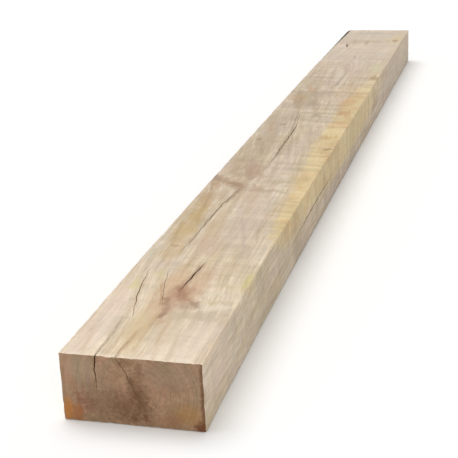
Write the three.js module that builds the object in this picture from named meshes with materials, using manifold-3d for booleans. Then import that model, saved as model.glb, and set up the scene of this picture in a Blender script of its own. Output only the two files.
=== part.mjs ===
// A railway sleeper sawn from one oak log, new and part dried, lying on its broad face.
//
// Millimetres. X runs across the beam, Y along it and Z up from the face that it lies on. The near
// end faces -Y and left is -X. The origin is the middle of the underside.
//
// The heart of the log runs inside the beam from end to end. As the wood dries it opens in clefts,
// widest where they meet the surface and closing toward their roots. Each is cut out as a thin wedge.

import * as THREE from 'three';
import { mergeVertices } from 'three/addons/utils/BufferGeometryUtils.js';
import Module from 'manifold-3d';

// Sawn beam
const length = 2400;
const width = 200;
const height = 100;
const arrisRadius = 2;
const endEase = 1;

// Spring: the sideways bow of the dried beam, to the left, and how far from the near end it is greatest
const springRise = 4;
const springPeak = 480;

// Wane: the top left arris runs out into the round of the log toward the far end. How far it reaches
// back along the beam, its [width, drop] at even steps from its start to the far end, and the share by
// which its width wavers.
const waneReach = 570;
const waneSizes = [[0.5, 0.5], [6.5, 5.5], [7.5, 6], [10.5, 6.5], [14.5, 7], [16, 7.5]];
const waneWaver = 0.1;

// Heart of the log
const heartFromLeft = 114;
const heartFromTop = 50;

// A cleft's width at its root and past its tips, and how far the wedge that cuts it stands out
const hairline = 0.3;
const wedgeOverrun = 1.5;

// Share of its full size that a cleft still has at its very tip
const tipShare = 0.06;

// Share of a split's fullness that is only its flare at the end face, and how quickly that dies away
const flareShare = 0.6;
const flareFade = 20;

// Clefts and the wane wander to either side as they follow the fibres
const wanderRise = 0.9;
const wanderPitch = 47;

// Steps of the surfaces
const beamSteps = 20;
const arrisSteps = 3;
const fibrePitch = 14;
const fewestSteps = 6;
const checkSteps = 3;
const splitSteps = 10;

// Splits that open both the near end and the top. Mouth, on the top: points from the near end inward,
// each [from the near end, from the left side]. Root, in the end face: points going down from the
// mouth, each [sideways, down].
const nearEndSplits = [
  {
    mouth: [[0, 52.5], [60, 53], [126, 48.5]],
    root: [[0, 0], [-2.5, 20], [-4, 27], [-2, 36], [-1.5, 46]],
    gape: 2.1,
  },
  {
    mouth: [[0, 80], [26, 80], [52, 82]],
    root: [[0, 0], [12, 20], [19, 31], [21.5, 42], [28, 52], [33, 70]],
    gape: 0.5,
  },
];

// Checks that open in one long face and close toward the heart. Mouth: each point
// [from the near end, across the face], where across is from the left side, or up from the underside.
const faceChecks = [
  { face: 'top', mouth: [[128, 60.5], [215, 41], [304, 29]], depth: 18, gape: 0.5 },
  { face: 'top', mouth: [[188, 87], [240, 73.5], [300, 62]], depth: 9, gape: 0.3 },
  { face: 'top', mouth: [[234, 102], [290, 105.5], [346, 109.5]], depth: 28, gape: 1.8 },
  { face: 'top', mouth: [[405, 61], [510, 59.5], [620, 61.5], [726, 71]], depth: 20, gape: 0.7 },
  { face: 'top', mouth: [[915, 89], [1040, 86.5], [1170, 84], [1290, 69.5]], depth: 24, gape: 1.2 },
  { face: 'top', mouth: [[2098, 49], [2134, 43], [2170, 37]], depth: 12, gape: 1.8 },
  { face: 'right', mouth: [[560, 47], [790, 52], [1030, 49]], depth: 26, gape: 1.5 },
  { face: 'left', mouth: [[1310, 54], [1580, 49], [1840, 52]], depth: 30, gape: 1.8 },
  { face: 'underside', mouth: [[350, 117], [590, 112], [860, 116]], depth: 22, gape: 1.4 },
];

// Star shake of the far end: rays that run out from the heart, each with its angle above level
const farEndRays = [
  { angle: 97, span: 46, reach: 95, gape: 2.6 },
  { angle: 196, span: 74, reach: 70, gape: 1.8 },
  { angle: -31, span: 62, reach: 60, gape: 1.5 },
];

const rightSide = width / 2;
const leftSide = -rightSide;
const nearEnd = -length / 2;
const farEnd = length / 2;
const heart = new THREE.Vector2(leftSide + heartFromLeft, height - heartFromTop);

// The point of the section at a distance across one of its faces
const pointOnFace = {
  top: (across) => new THREE.Vector2(leftSide + across, height),
  underside: (across) => new THREE.Vector2(leftSide + across, 0),
  right: (across) => new THREE.Vector2(rightSide, across),
  left: (across) => new THREE.Vector2(leftSide, across),
};

const wasm = await Module();
wasm.setup();

function toSolid(geometry) {
  geometry.deleteAttribute('normal');
  geometry.deleteAttribute('uv');
  const merged = mergeVertices(geometry);
  return new wasm.Manifold(new wasm.Mesh({
    numProp: 3,
    vertProperties: new Float32Array(merged.attributes.position.array),
    triVerts: new Uint32Array(merged.index.array),
  }));
}

function toGeometry(solid) {
  const mesh = solid.getMesh();
  const geometry = new THREE.BufferGeometry();
  geometry.setAttribute('position', new THREE.BufferAttribute(mesh.vertProperties, 3));
  geometry.setIndex(new THREE.BufferAttribute(mesh.triVerts, 1));
  geometry.computeVertexNormals();
  return geometry;
}

function moveVertices(geometry, place) {
  const position = geometry.attributes.position;
  const vertex = new THREE.Vector3();
  for (let i = 0; i < position.count; i += 1) {
    const { x, y, z } = place(vertex.fromBufferAttribute(position, i));
    position.setXYZ(i, x, y, z);
  }
  return geometry;
}

function stepsAlong(distance) {
  return Math.max(fewestSteps, Math.round(distance / fibrePitch));
}

function wander(y) {
  const turn = 2 * Math.PI * y / wanderPitch;
  return wanderRise * (Math.sin(turn) + Math.sin(turn * Math.SQRT2)) / 2;
}

// Sideways place of the bowed beam's middle line. It lies as far to the left at the peak as to the
// right at the ends, so the whole beam stays centred on the frame.
function springAt(y) {
  const fromNear = y - nearEnd;
  const fromFar = farEnd - y;
  const share = fromNear < springPeak ? fromNear / springPeak : fromFar / (length - springPeak);
  return springRise * (0.5 - Math.sin(share * Math.PI / 2));
}

function bowed(geometry) {
  return moveVertices(geometry, (vertex) => vertex.setX(vertex.x + springAt(vertex.y)));
}

// The section: broad faces level, arrises slightly rounded
function sectionShape() {
  const r = arrisRadius;
  const shape = new THREE.Shape();
  shape.absarc(rightSide - r, r, r, -Math.PI / 2, 0);
  shape.absarc(rightSide - r, height - r, r, 0, Math.PI / 2);
  shape.absarc(leftSide + r, height - r, r, Math.PI / 2, Math.PI);
  shape.absarc(leftSide + r, r, r, Math.PI, Math.PI * 1.5);
  return shape;
}

function sawnBeam() {
  const geometry = new THREE.ExtrudeGeometry(sectionShape(), {
    depth: length - 2 * endEase,
    steps: beamSteps,
    curveSegments: arrisSteps,
    bevelThickness: endEase,
    bevelSize: endEase,
    bevelOffset: -endEase,
    bevelSegments: 1,
  });
  geometry.rotateX(Math.PI / 2);
  geometry.translate(0, farEnd - endEase, 0);
  return toSolid(bowed(geometry));
}

// The corner of wood that the wane lacks: a three-sided bar that dwindles from the far end inward,
// toward the arris. Its long side is the wane, run past both edges so that it cuts clear.
function waneWedge() {
  const past = 0.2;
  const sizes = lineThrough(waneSizes);
  const section = new THREE.Shape([
    new THREE.Vector2(1 + past, past),
    new THREE.Vector2(-past, past),
    new THREE.Vector2(-past, -1 - past),
  ]);
  const geometry = new THREE.ExtrudeGeometry(section, {
    depth: waneReach,
    steps: stepsAlong(waneReach),
    bevelEnabled: false,
  });
  geometry.rotateX(Math.PI / 2);
  moveVertices(geometry, ({ x, y, z }) => {
    const { x: wide, y: drop } = sizes.getPoint(1 + y / waneReach);
    const waver = 1 + waneWaver * wander(y) / wanderRise;
    return new THREE.Vector3(x * wide * waver, y, z * drop);
  });
  geometry.translate(leftSide, farEnd + wedgeOverrun, height);
  return toSolid(bowed(geometry));
}

// Smooth line through hand-set points, each [first, second]
function lineThrough(points) {
  return new THREE.SplineCurve(points.map(([first, second]) => new THREE.Vector2(first, second)));
}

// How full a cleft is along its mouth, from 1 where it is deepest down to a tip
function fullnessFromEnd(along) {
  const flare = flareShare * (1 - along) ** flareFade;
  return Math.max(tipShare, Math.sqrt(1 - along) * (1 - flareShare + flare));
}

function fullnessBetweenTips(along) {
  return Math.max(tipShare, Math.sin(Math.PI * along));
}

// A wedge that cuts one cleft. middle(along, deep) is a point of its middle surface and side is the
// direction that it gapes in. along and deep run from 0 to 1, and it closes in a curve toward its root.
function cleftWedge({ middle, side, fullness, gape, mouthLength, steps }) {
  const geometry = new THREE.BoxGeometry(1, 1, 1, stepsAlong(mouthLength), 1, steps);
  moveVertices(geometry, (vertex) => {
    const along = vertex.x + 0.5;
    const deep = vertex.z + 0.5;
    const opening = hairline + gape * fullness(along) ** 2 * (1 - deep ** 2);
    return middle(along, deep).addScaledVector(side, vertex.y * opening);
  });
  return toSolid(bowed(geometry));
}

// The direction in which a cleft gapes, square to the one that it runs in across the section
function sideOf(direction) {
  return new THREE.Vector3(-direction.y, 0, direction.x);
}

function nearEndSplit({ mouth, root, gape }) {
  const mouthLine = lineThrough(mouth);
  const rootLine = lineThrough(root);
  const middle = (along, deep) => {
    const { x: fromNear, y: fromLeft } = mouthLine.getPoint(along);
    const offset = rootLine.getPoint(deep).multiplyScalar(fullnessFromEnd(along));
    const y = nearEnd + (along === 0 ? -wedgeOverrun : fromNear);
    const z = height - (deep === 0 ? -wedgeOverrun : offset.y);
    return new THREE.Vector3(leftSide + fromLeft + offset.x + wander(y), y, z);
  };
  const side = new THREE.Vector3(1, 0, 0);
  const mouthLength = mouthLine.getLength();
  const fullness = fullnessFromEnd;
  return cleftWedge({ middle, side, fullness, gape, mouthLength, steps: splitSteps });
}

function faceCheck({ face, mouth, depth, gape }) {
  const mouthLine = lineThrough(mouth);
  const { y: middleAcross } = mouthLine.getPoint(0.5);
  const inward = heart.clone().sub(pointOnFace[face](middleAcross)).normalize();
  const middle = (along, deep) => {
    const { x: fromNear, y: across } = mouthLine.getPoint(along);
    const y = nearEnd + fromNear;
    const depthHere = deep === 0 ? -wedgeOverrun : deep * depth * fullnessBetweenTips(along);
    const { x, y: z } = pointOnFace[face](across + wander(y)).addScaledVector(inward, depthHere);
    return new THREE.Vector3(x, y, z);
  };
  const side = sideOf(inward);
  const mouthLength = mouthLine.getLength();
  const fullness = fullnessBetweenTips;
  return cleftWedge({ middle, side, fullness, gape, mouthLength, steps: checkSteps });
}

function farEndRay({ angle, span, reach, gape }) {
  const turn = THREE.MathUtils.degToRad(angle);
  const outward = new THREE.Vector2(Math.cos(turn), Math.sin(turn));
  const middle = (along, deep) => {
    const { x, y: z } = heart.clone().addScaledVector(outward, along * span);
    const depthHere = deep === 0 ? -wedgeOverrun : deep * reach * fullnessFromEnd(along);
    return new THREE.Vector3(x, farEnd - depthHere, z);
  };
  const side = sideOf(outward);
  const fullness = fullnessFromEnd;
  return cleftWedge({ middle, side, fullness, gape, mouthLength: span, steps: checkSteps });
}

function driedBeam() {
  const lost = [
    waneWedge(),
    ...nearEndSplits.map(nearEndSplit),
    ...faceChecks.map(faceCheck),
    ...farEndRays.map(farEndRay),
  ];
  return lost.reduce((beam, wedge) => beam.subtract(wedge), sawnBeam());
}

const sawnOak = new THREE.MeshStandardMaterial({
  name: 'sawn_oak',
  color: 0xd9c19c,
  roughness: 0.85,
  metalness: 0,
  flatShading: true,
});

const sleeperBeam = new THREE.Mesh(toGeometry(driedBeam()), sawnOak);
sleeperBeam.name = 'sleeper_beam';

const sleeper = new THREE.Group();
sleeper.add(sleeperBeam);

export default sleeper;
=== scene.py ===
import math

import bmesh
import bpy
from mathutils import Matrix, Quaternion, Vector


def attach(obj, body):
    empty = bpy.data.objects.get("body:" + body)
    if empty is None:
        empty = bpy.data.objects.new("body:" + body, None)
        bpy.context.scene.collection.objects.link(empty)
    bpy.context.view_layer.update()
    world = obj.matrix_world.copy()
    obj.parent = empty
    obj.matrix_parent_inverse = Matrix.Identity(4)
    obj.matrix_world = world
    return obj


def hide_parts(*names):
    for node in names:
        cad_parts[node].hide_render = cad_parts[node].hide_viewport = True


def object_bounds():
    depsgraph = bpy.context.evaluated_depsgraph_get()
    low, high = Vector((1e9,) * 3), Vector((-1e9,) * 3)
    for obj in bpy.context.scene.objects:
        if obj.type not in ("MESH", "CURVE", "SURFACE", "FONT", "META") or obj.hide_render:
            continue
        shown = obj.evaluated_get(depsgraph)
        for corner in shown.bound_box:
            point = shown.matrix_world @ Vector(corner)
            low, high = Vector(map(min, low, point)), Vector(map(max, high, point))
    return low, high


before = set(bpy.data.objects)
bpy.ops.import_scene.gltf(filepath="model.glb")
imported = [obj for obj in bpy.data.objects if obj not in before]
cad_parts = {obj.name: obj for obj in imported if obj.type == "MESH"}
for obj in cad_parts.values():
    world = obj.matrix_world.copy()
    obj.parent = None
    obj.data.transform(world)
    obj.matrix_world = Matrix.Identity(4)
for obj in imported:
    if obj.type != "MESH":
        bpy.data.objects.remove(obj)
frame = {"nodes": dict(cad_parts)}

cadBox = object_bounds()
print("frame loaded:", ", ".join(frame["nodes"]))

# Metres. X runs across the sleeper, Y along it from the near end to the far one, Z up.
sleeper = {
    "length": 2.4, "width": 0.2, "height": 0.1,
    "arris": 0.002, "arrisSteps": 3, "endEase": 0.001,
    "springRise": 0.004, "springPeak": 0.48,  # sideways bow, and how far from the near end it is greatest
    "heart": (0.014, 0.05),  # where the heart of the log runs, across and up
    "bays": 80, "nearBays": 14, "nearSteps": 8, "farSteps": 4,  # rows along the beam, closer near the front
    "stepsAcross": 46, "stepsUp": 23,
    "wanderRise": 0.0009, "wanderPitch": 0.047,  # clefts and the wane wander as they follow the fibres
    "overrun": 0.0015,  # how far a cutting wedge stands out of the wood
    "smoothAngle": 38,
}
nearEnd = -sleeper["length"] / 2
farEnd = sleeper["length"] / 2
leftSide = -sleeper["width"] / 2
rightSide = sleeper["width"] / 2
heart = Vector((sleeper["heart"][0], 0, sleeper["heart"][1]))


def springAt(y):
    peak = sleeper["springPeak"]
    fromNear = y - nearEnd
    share = fromNear / peak if fromNear < peak else (farEnd - y) / (sleeper["length"] - peak)
    return sleeper["springRise"] * (0.5 - math.sin(share * math.pi / 2))


def wander(y):
    turn = 2 * math.pi * y / sleeper["wanderPitch"]
    return sleeper["wanderRise"] * (math.sin(turn) + math.sin(turn * math.sqrt(2))) / 2


# Everything is deselected before a new primitive, so that an operator acts on it alone
def startPiece():
    if bpy.context.object and bpy.context.object.mode != "OBJECT":
        bpy.ops.object.mode_set(mode="OBJECT")
    bpy.ops.object.select_all(action="DESELECT")


def nameActive(name):
    piece = bpy.context.object
    piece.name = name
    piece.data.name = name
    return piece


def workOn(piece):
    startPiece()
    piece.select_set(True)
    bpy.context.view_layer.objects.active = piece


def applyModifiers(piece):
    bpy.context.view_layer.objects.active = piece
    for modifier in list(piece.modifiers):
        bpy.ops.object.modifier_apply(modifier=modifier.name)


# Selects the vertices, edges or faces that a test picks, in edit mode
def pick(piece, kind, test):
    bpy.ops.mesh.select_mode(type=kind)
    bpy.ops.mesh.select_all(action="DESELECT")
    mesh = bmesh.from_edit_mesh(piece.data)
    parts = {"VERT": mesh.verts, "EDGE": mesh.edges, "FACE": mesh.faces}[kind]
    for part in parts:
        if test(part):
            part.select_set(True)
    mesh.select_flush_mode()
    bmesh.update_edit_mesh(piece.data)


def spanOf(edge, axis):
    return abs(edge.verts[0].co[axis] - edge.verts[1].co[axis])


def cutEdges(beam, steps, test):
    pick(beam, "EDGE", test)
    bpy.ops.mesh.subdivide(number_cuts=steps - 1)


def sawBeam():
    size = sleeper
    startPiece()
    bpy.ops.mesh.primitive_cube_add(size=1, location=(0, 0, size["height"] / 2))
    beam = nameActive("oakSleeper")
    beam.scale = (size["width"], size["length"], size["height"])
    workOn(beam)
    bpy.ops.object.transform_apply(location=True, rotation=True, scale=True)
    bpy.ops.object.mode_set(mode="EDIT")
    halfLength = size["length"] / 2
    pick(beam, "EDGE", lambda edge: spanOf(edge, 1) > halfLength)
    bpy.ops.mesh.bevel(offset=size["arris"], segments=size["arrisSteps"], affect="EDGES")
    nearlyOut = halfLength - size["endEase"] / 100
    pick(beam, "EDGE", lambda edge: (
        spanOf(edge, 1) < halfLength and all(abs(vertex.co.y) > nearlyOut for vertex in edge.verts)))
    bpy.ops.mesh.bevel(offset=size["endEase"], segments=1, affect="EDGES")
    # rows along the beam, each shifted by the bow, and then closer ones
    cutEdges(beam, size["bays"], lambda edge: spanOf(edge, 1) > halfLength)
    for row in sorted({round(vertex.co.y, 4) for vertex in bmesh.from_edit_mesh(beam.data).verts}):
        pick(beam, "VERT", lambda vertex: round(vertex.co.y, 4) == row)
        bpy.ops.transform.translate(value=(springAt(row), 0, 0))
    bay = size["length"] / size["bays"]
    nearLine = nearEnd + (size["nearBays"] + 0.25) * bay
    cutEdges(beam, size["nearSteps"], lambda edge: (
        spanOf(edge, 1) > bay / 2 and all(vertex.co.y < nearLine for vertex in edge.verts)))
    cutEdges(beam, size["farSteps"], lambda edge: spanOf(edge, 1) > bay / 2)
    cutEdges(beam, size["stepsAcross"], lambda edge: spanOf(edge, 0) > size["width"] / 2)
    cutEdges(beam, size["stepsUp"], lambda edge: spanOf(edge, 2) > size["height"] / 2)
    bpy.ops.object.mode_set(mode="OBJECT")
    print("beam sawn:", len(beam.data.polygons), "faces")
    return beam


# Smooth line through points, sampled by Catmull-Rom, as a list of steps + 1 places
def smoothLine(points, steps):
    places = []
    last = len(points) - 1
    for i in range(steps + 1):
        spot = i / steps * last
        k = min(int(spot), last - 1)
        t = spot - k
        before, start, finish, after = [Vector(points[min(max(k + j, 0), last)]) for j in (-1, 0, 1, 2)]
        leave = (finish - before) / 2
        arrive = (after - start) / 2
        step = finish - start
        rise = (3 * step - 2 * leave - arrive) * t * t
        turn = (leave + arrive - 2 * step) * t ** 3
        places.append(start + leave * t + rise + turn)
    return places


cleftShape = {
    "hairline": 0.0003, "tear": 0.0009, "tearSize": 0.016, "pitch": 0.005, "fewest": 6, "rows": 7,
    "tipShare": 0.06,  # share of its full size that a cleft still has at its tip
    "flareShare": 0.6, "flareFade": 20,  # a split flares at the end face
    "starNudge": 0.0006,  # keeps the star's rays from starting on one line
}
tornFibres = bpy.data.textures.new("tornFibres", "CLOUDS")
tornFibres.noise_scale = cleftShape["tearSize"]

# Mouth points are [from the near end, from the left side or up the face]; root points [sideways, down]
endSplits = [
    {"mouth": [(0, 0.0525), (0.06, 0.053), (0.126, 0.0485)],
     "root": [(0, 0), (-0.0025, 0.02), (-0.004, 0.027), (-0.002, 0.036), (-0.0015, 0.046)], "gape": 0.0021},
    {"mouth": [(0, 0.08), (0.026, 0.08), (0.052, 0.082)],
     "root": [(0, 0), (0.012, 0.02), (0.019, 0.031), (0.0215, 0.042), (0.028, 0.052), (0.033, 0.07)],
     "gape": 0.0005},
]
faceChecks = [  # face, mouth, depth, gape
    ("top", [(0.128, 0.0605), (0.215, 0.041), (0.304, 0.029)], 0.018, 0.0005),
    ("top", [(0.188, 0.087), (0.24, 0.0735), (0.3, 0.062)], 0.009, 0.0003),
    ("top", [(0.234, 0.102), (0.29, 0.1055), (0.346, 0.1095)], 0.028, 0.0018),
    ("top", [(0.405, 0.061), (0.51, 0.0595), (0.62, 0.0615), (0.726, 0.071)], 0.02, 0.0007),
    ("top", [(0.915, 0.089), (1.04, 0.0865), (1.17, 0.084), (1.29, 0.0695)], 0.024, 0.0012),
    ("top", [(2.098, 0.049), (2.134, 0.043), (2.17, 0.037)], 0.012, 0.0018),
    ("right", [(0.56, 0.047), (0.79, 0.052), (1.03, 0.049)], 0.026, 0.0015),
    ("left", [(1.31, 0.054), (1.58, 0.049), (1.84, 0.052)], 0.03, 0.0018),
    ("underside", [(0.35, 0.117), (0.59, 0.112), (0.86, 0.116)], 0.022, 0.0014),
]
starRays = [  # of the far end's star shake, out from the heart: angle, span, reach into the beam, gape
    (97, 0.046, 0.095, 0.0026),
    (196, 0.074, 0.07, 0.0018),
    (-31, 0.062, 0.06, 0.0015),
]


def fullFromEnd(along):
    flare = cleftShape["flareShare"] * (1 - along) ** cleftShape["flareFade"]
    return max(cleftShape["tipShare"], math.sqrt(1 - along) * (1 - cleftShape["flareShare"] + flare))


def fullBetweenTips(along):
    return max(cleftShape["tipShare"], math.sin(math.pi * along))


# A piece of one vertex, in edit mode, to extrude from
def startPoint(name, place):
    startPiece()
    bpy.ops.mesh.primitive_plane_add(size=0.01)
    piece = nameActive(name)
    bpy.ops.object.mode_set(mode="EDIT")
    bpy.ops.mesh.select_mode(type="VERT")
    bpy.ops.mesh.select_all(action="SELECT")
    bpy.ops.mesh.merge(type="CENTER")
    bpy.ops.transform.translate(value=place)
    return piece


def extrudeBy(step):
    bpy.ops.mesh.extrude_region_move(TRANSFORM_OT_translate={"value": step})


def pushAlong(piece, name, texture, strength, middle, group):
    push = piece.modifiers.new(name, "DISPLACE")
    push.texture = texture
    push.strength = strength
    push.mid_level = middle
    push.vertex_group = group


# A drying cleft starts as one column of points, from just outside the mouth down the root line. The
# column is extruded along the mouth and sized about it, and Solidify gives the sheet its gape.
def cleftWedge(name, mouth, root, fullness, gape):
    steps = len(mouth) - 1
    column = [(root[0] - root[1]).normalized() * sleeper["overrun"]] + root
    cleft = startPoint(name, mouth[0] + column[0])
    for here, deeper in zip(column, column[1:]):
        extrudeBy(deeper - here)
    bpy.ops.mesh.select_all(action="SELECT")
    full = fullness(0)
    bpy.ops.transform.resize(value=(full, full, full), center_override=mouth[0])
    for i in range(1, steps + 1):
        extrudeBy(mouth[i] - mouth[i - 1])
        size = fullness(i / steps) / full
        bpy.ops.transform.resize(value=(size, size, size), center_override=mouth[i])
        full = fullness(i / steps)
    bpy.ops.object.mode_set(mode="OBJECT")
    opening = cleft.vertex_groups.new(name="opening")
    for vertex in cleft.data.vertices:
        i, row = divmod(vertex.index, len(column))
        deep = max(0, row - 1) / (len(root) - 1)
        opening.add([vertex.index], fullness(i / steps) ** 2 * (1 - deep ** 2), "REPLACE")
    pushAlong(cleft, "torn", tornFibres, cleftShape["tear"], 0.5, "opening")
    solid = cleft.modifiers.new("gape", "SOLIDIFY")
    solid.thickness = gape + cleftShape["hairline"]
    solid.offset = 0
    solid.vertex_group = "opening"
    solid.thickness_vertex_group = cleftShape["hairline"] / (gape + cleftShape["hairline"])
    applyModifiers(cleft)
    return cleft


# A place on a face, from its distance to the near end and to the left side or the underside
def onFace(face, fromNear, across):
    y = nearEnd + fromNear
    across = across + wander(y)
    if face in ("top", "underside"):
        return Vector((leftSide + across + springAt(y), y, sleeper["height"] if face == "top" else 0))
    return Vector(((rightSide if face == "right" else leftSide) + springAt(y), y, across))


def stepsFor(span):
    return max(cleftShape["fewest"], round(span / cleftShape["pitch"]))


def mouthOn(face, points):
    span = sum((Vector(b) - Vector(a)).length for a, b in zip(points, points[1:]))
    return [onFace(face, place[0], place[1]) for place in smoothLine(points, stepsFor(span))]


def evenLine(start, reach, steps):
    return [start + reach * k / steps for k in range(steps + 1)]


def cutClefts():
    wedges = []
    rows = cleftShape["rows"]
    for i, split in enumerate(endSplits):
        mouth = mouthOn("top", split["mouth"])
        mouth[0].y -= sleeper["overrun"]
        root = [Vector((p[0], 0, -p[1])) for p in smoothLine(split["root"], 2 * rows)]
        wedges.append(cleftWedge(f"endSplit{i}", mouth, root, fullFromEnd, split["gape"]))
    for i, (face, points, depth, gape) in enumerate(faceChecks):
        mouth = mouthOn(face, points)
        middle = mouth[len(mouth) // 2]
        inward = Vector((heart.x - middle.x, 0, heart.z - middle.z)).normalized()
        root = evenLine(Vector(), inward * depth, rows)
        wedges.append(cleftWedge(f"faceCheck{i}", mouth, root, fullBetweenTips, gape))
    for i, (angle, span, reach, gape) in enumerate(starRays):
        out = Vector((math.cos(math.radians(angle)), 0, math.sin(math.radians(angle))))
        middle = Vector((heart.x + springAt(farEnd), farEnd, heart.z))
        start = middle + out * cleftShape["starNudge"] * (i + 1)
        mouth = evenLine(start, out * span, stepsFor(span))
        root = [Vector((0, -reach * k / (2 * rows), 0)) for k in range(2 * rows + 1)]
        wedges.append(cleftWedge(f"starRay{i}", mouth, root, fullFromEnd, gape))
    return wedges


# The wane is a long bar that dwindles from the far end toward the arris. Its inner side is the round
# of the log, so it bulges into the bar, and it is rough with bark.
wane = {
    "reach": 0.57, "waver": 0.1, "bulge": 0.1, "pitch": 0.007, "rough": 0.0022,
    "facets": 8, "outside": 0.2,  # of its section, and how far that stands outside, as a share of its size
    "lumpSize": 0.011, "lumpDetail": 3,
    # width and drop at even steps, from where it starts to the far end
    "sizes": [(0.0005, 0.0005), (0.0065, 0.0055), (0.0075, 0.006), (0.0105, 0.0065), (0.0145, 0.007),
              (0.016, 0.0075)],
}
barkLumps = bpy.data.textures.new("barkLumps", "CLOUDS")
barkLumps.noise_scale = wane["lumpSize"]
barkLumps.noise_depth = wane["lumpDetail"]


def waneBar():
    steps = round(wane["reach"] / wane["pitch"])
    sizes = smoothLine(list(reversed(wane["sizes"])), steps)
    facets, outside = wane["facets"], wane["outside"]
    section = [Vector((-outside, 0, outside))]
    for k in range(facets + 1):
        across = k / facets * (1 + 2 * outside)
        bulge = Vector((-1, 0, 1)) * wane["bulge"] * math.sin(math.pi * k / facets)
        section.append(Vector((1 + outside - across, 0, outside - across)) + bulge)
    corner = Vector((leftSide + springAt(farEnd), farEnd + sleeper["overrun"], sleeper["height"]))
    bar = startPoint("waneBar", corner + section[0])
    for here, after in zip(section, section[1:]):
        extrudeBy(after - here)
    bpy.ops.mesh.select_all(action="SELECT")
    bpy.ops.mesh.edge_face_add()
    before = (1, 1)
    places = []
    for i, (wide, drop) in enumerate(sizes):
        y = corner.y - i / steps * wane["reach"]
        places.append(Vector((leftSide + springAt(y), y, sleeper["height"])))
        if i > 0:
            extrudeBy(places[i] - places[i - 1])
        wide = wide * (1 + wane["waver"] * wander(y) / sleeper["wanderRise"])
        bpy.ops.transform.resize(value=(wide / before[0], 1, drop / before[1]), center_override=places[i])
        before = (wide, drop)
    bpy.ops.mesh.select_all(action="SELECT")
    bpy.ops.mesh.normals_make_consistent(inside=False)
    bpy.ops.object.mode_set(mode="OBJECT")
    rough = bar.vertex_groups.new(name="rough")
    for vertex in bar.data.vertices:
        along = (corner.y - vertex.co.y) / wane["reach"]
        wide = sizes[min(steps, max(0, round(along * steps)))].x
        rough.add([vertex.index], wide / sizes[0].x, "REPLACE")
    pushAlong(bar, "lumps", barkLumps, wane["rough"], 0.5, "rough")
    applyModifiers(bar)
    return bar


def cutAway(beam, wedges):
    bpy.context.view_layer.objects.active = beam
    for wedge in wedges:
        cut = beam.modifiers.new("cut", "BOOLEAN")
        cut.operation = "DIFFERENCE"
        cut.solver = "EXACT"
        cut.material_mode = "TRANSFER"
        cut.object = wedge
        bpy.ops.object.modifier_apply(modifier=cut.name)
    for wedge in wedges:
        bpy.data.objects.remove(wedge)


# Relief of the sawn wood: size and detail of its lumps, the stops that sharpen them, its depth and
# where it is. Every push is inward from the sawn surface, so the piece never outgrows its box.
relief = {
    "wornArris": {"size": 0.05, "detail": 2, "stops": (0.28, 0.46), "depth": 0.0007, "where": "arris"},
    "nicks": {"size": 0.008, "detail": 1, "stops": (0.3, 0.42), "depth": 0.0005, "where": "arris"},
    "uneven": {"size": 0.11, "detail": 1, "stops": (0.2, 0.8), "depth": 0.0006, "where": ""},
    "rough": {"size": 0.014, "detail": 2, "stops": (0.2, 0.8), "depth": 0.0003, "where": ""},
    "endRough": {"size": 0.01, "detail": 2, "stops": (0.25, 0.75), "depth": 0.0007, "where": "ends"},
}
wear = {
    "reach": 0.006, "full": 0.0012,  # how far from an arris it fades out, and how far it is full
    "endDepth": 0.0015,  # how far in from the end faces their roughness goes
}


def arrisCloseness(co):
    across = rightSide - abs(co.x - springAt(co.y))
    up = min(co.z, sleeper["height"] - co.z)
    along = farEnd - abs(co.y)
    nearest = sorted((across, up, along))[1]
    return max(0, 1 - max(0, nearest - wear["full"]) / wear["reach"])


def roughen(beam):
    arris = beam.vertex_groups.new(name="arris")
    ends = beam.vertex_groups.new(name="ends")
    for vertex in beam.data.vertices:
        arris.add([vertex.index], arrisCloseness(vertex.co), "REPLACE")
        if abs(vertex.co.y) > farEnd - wear["endDepth"]:
            ends.add([vertex.index], 1, "REPLACE")
    for name, facts in relief.items():
        texture = bpy.data.textures.new(name, "CLOUDS")
        texture.noise_scale = facts["size"]
        texture.noise_depth = facts["detail"]
        texture.use_color_ramp = True
        low, high = texture.color_ramp.elements
        low.position, high.position = facts["stops"]
        low.color = (0, 0, 0, 1)
        high.color = (1, 1, 1, 1)
        pushAlong(beam, name, texture, facts["depth"], 1, facts["where"])
    applyModifiers(beam)
    beam.vertex_groups.clear()


# Colours are given as on screen, 0 to 255
def paint(red, green, blue):
    def linear(value):
        share = value / 255
        return share / 12.92 if share <= 0.04045 else ((share + 0.055) / 1.055) ** 2.4
    return (linear(red), linear(green), linear(blue), 1)


# A number or colour goes onto a socket as its value, and another node's output is linked to it
def feed(tree, socket, value):
    if isinstance(value, bpy.types.NodeSocket):
        tree.links.new(value, socket)
    elif value is not None:
        socket.default_value = value


def feedAll(tree, node, values):
    for socket, value in zip(node.inputs, values):
        feed(tree, socket, value)
    return node


def compute(tree, operation, first, second=None, third=None, clamp=False):
    node = tree.nodes.new("ShaderNodeMath")
    node.operation = operation
    node.use_clamp = clamp
    return feedAll(tree, node, (first, second, third)).outputs[0]


def times(tree, first, second):
    return compute(tree, "MULTIPLY", first, second)


def plus(tree, first, second):
    return compute(tree, "ADD", first, second)


def minus(tree, first, second):
    return compute(tree, "SUBTRACT", first, second)


def timesPlus(tree, first, second, third):
    return compute(tree, "MULTIPLY_ADD", first, second, third)


def vectorCompute(tree, operation, first, second=None, scale=None):
    node = tree.nodes.new("ShaderNodeVectorMath")
    node.operation = operation
    feedAll(tree, node, (first, second))
    if scale is not None:
        feed(tree, node.inputs["Scale"], scale)
    return node.outputs["Value" if operation in ("LENGTH", "DOT_PRODUCT", "DISTANCE") else "Vector"]


def combine(tree, across, along, up):
    return feedAll(tree, tree.nodes.new("ShaderNodeCombineXYZ"), (across, along, up)).outputs[0]


def separate(tree, vector):
    return feedAll(tree, tree.nodes.new("ShaderNodeSeparateXYZ"), (vector,)).outputs


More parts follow.
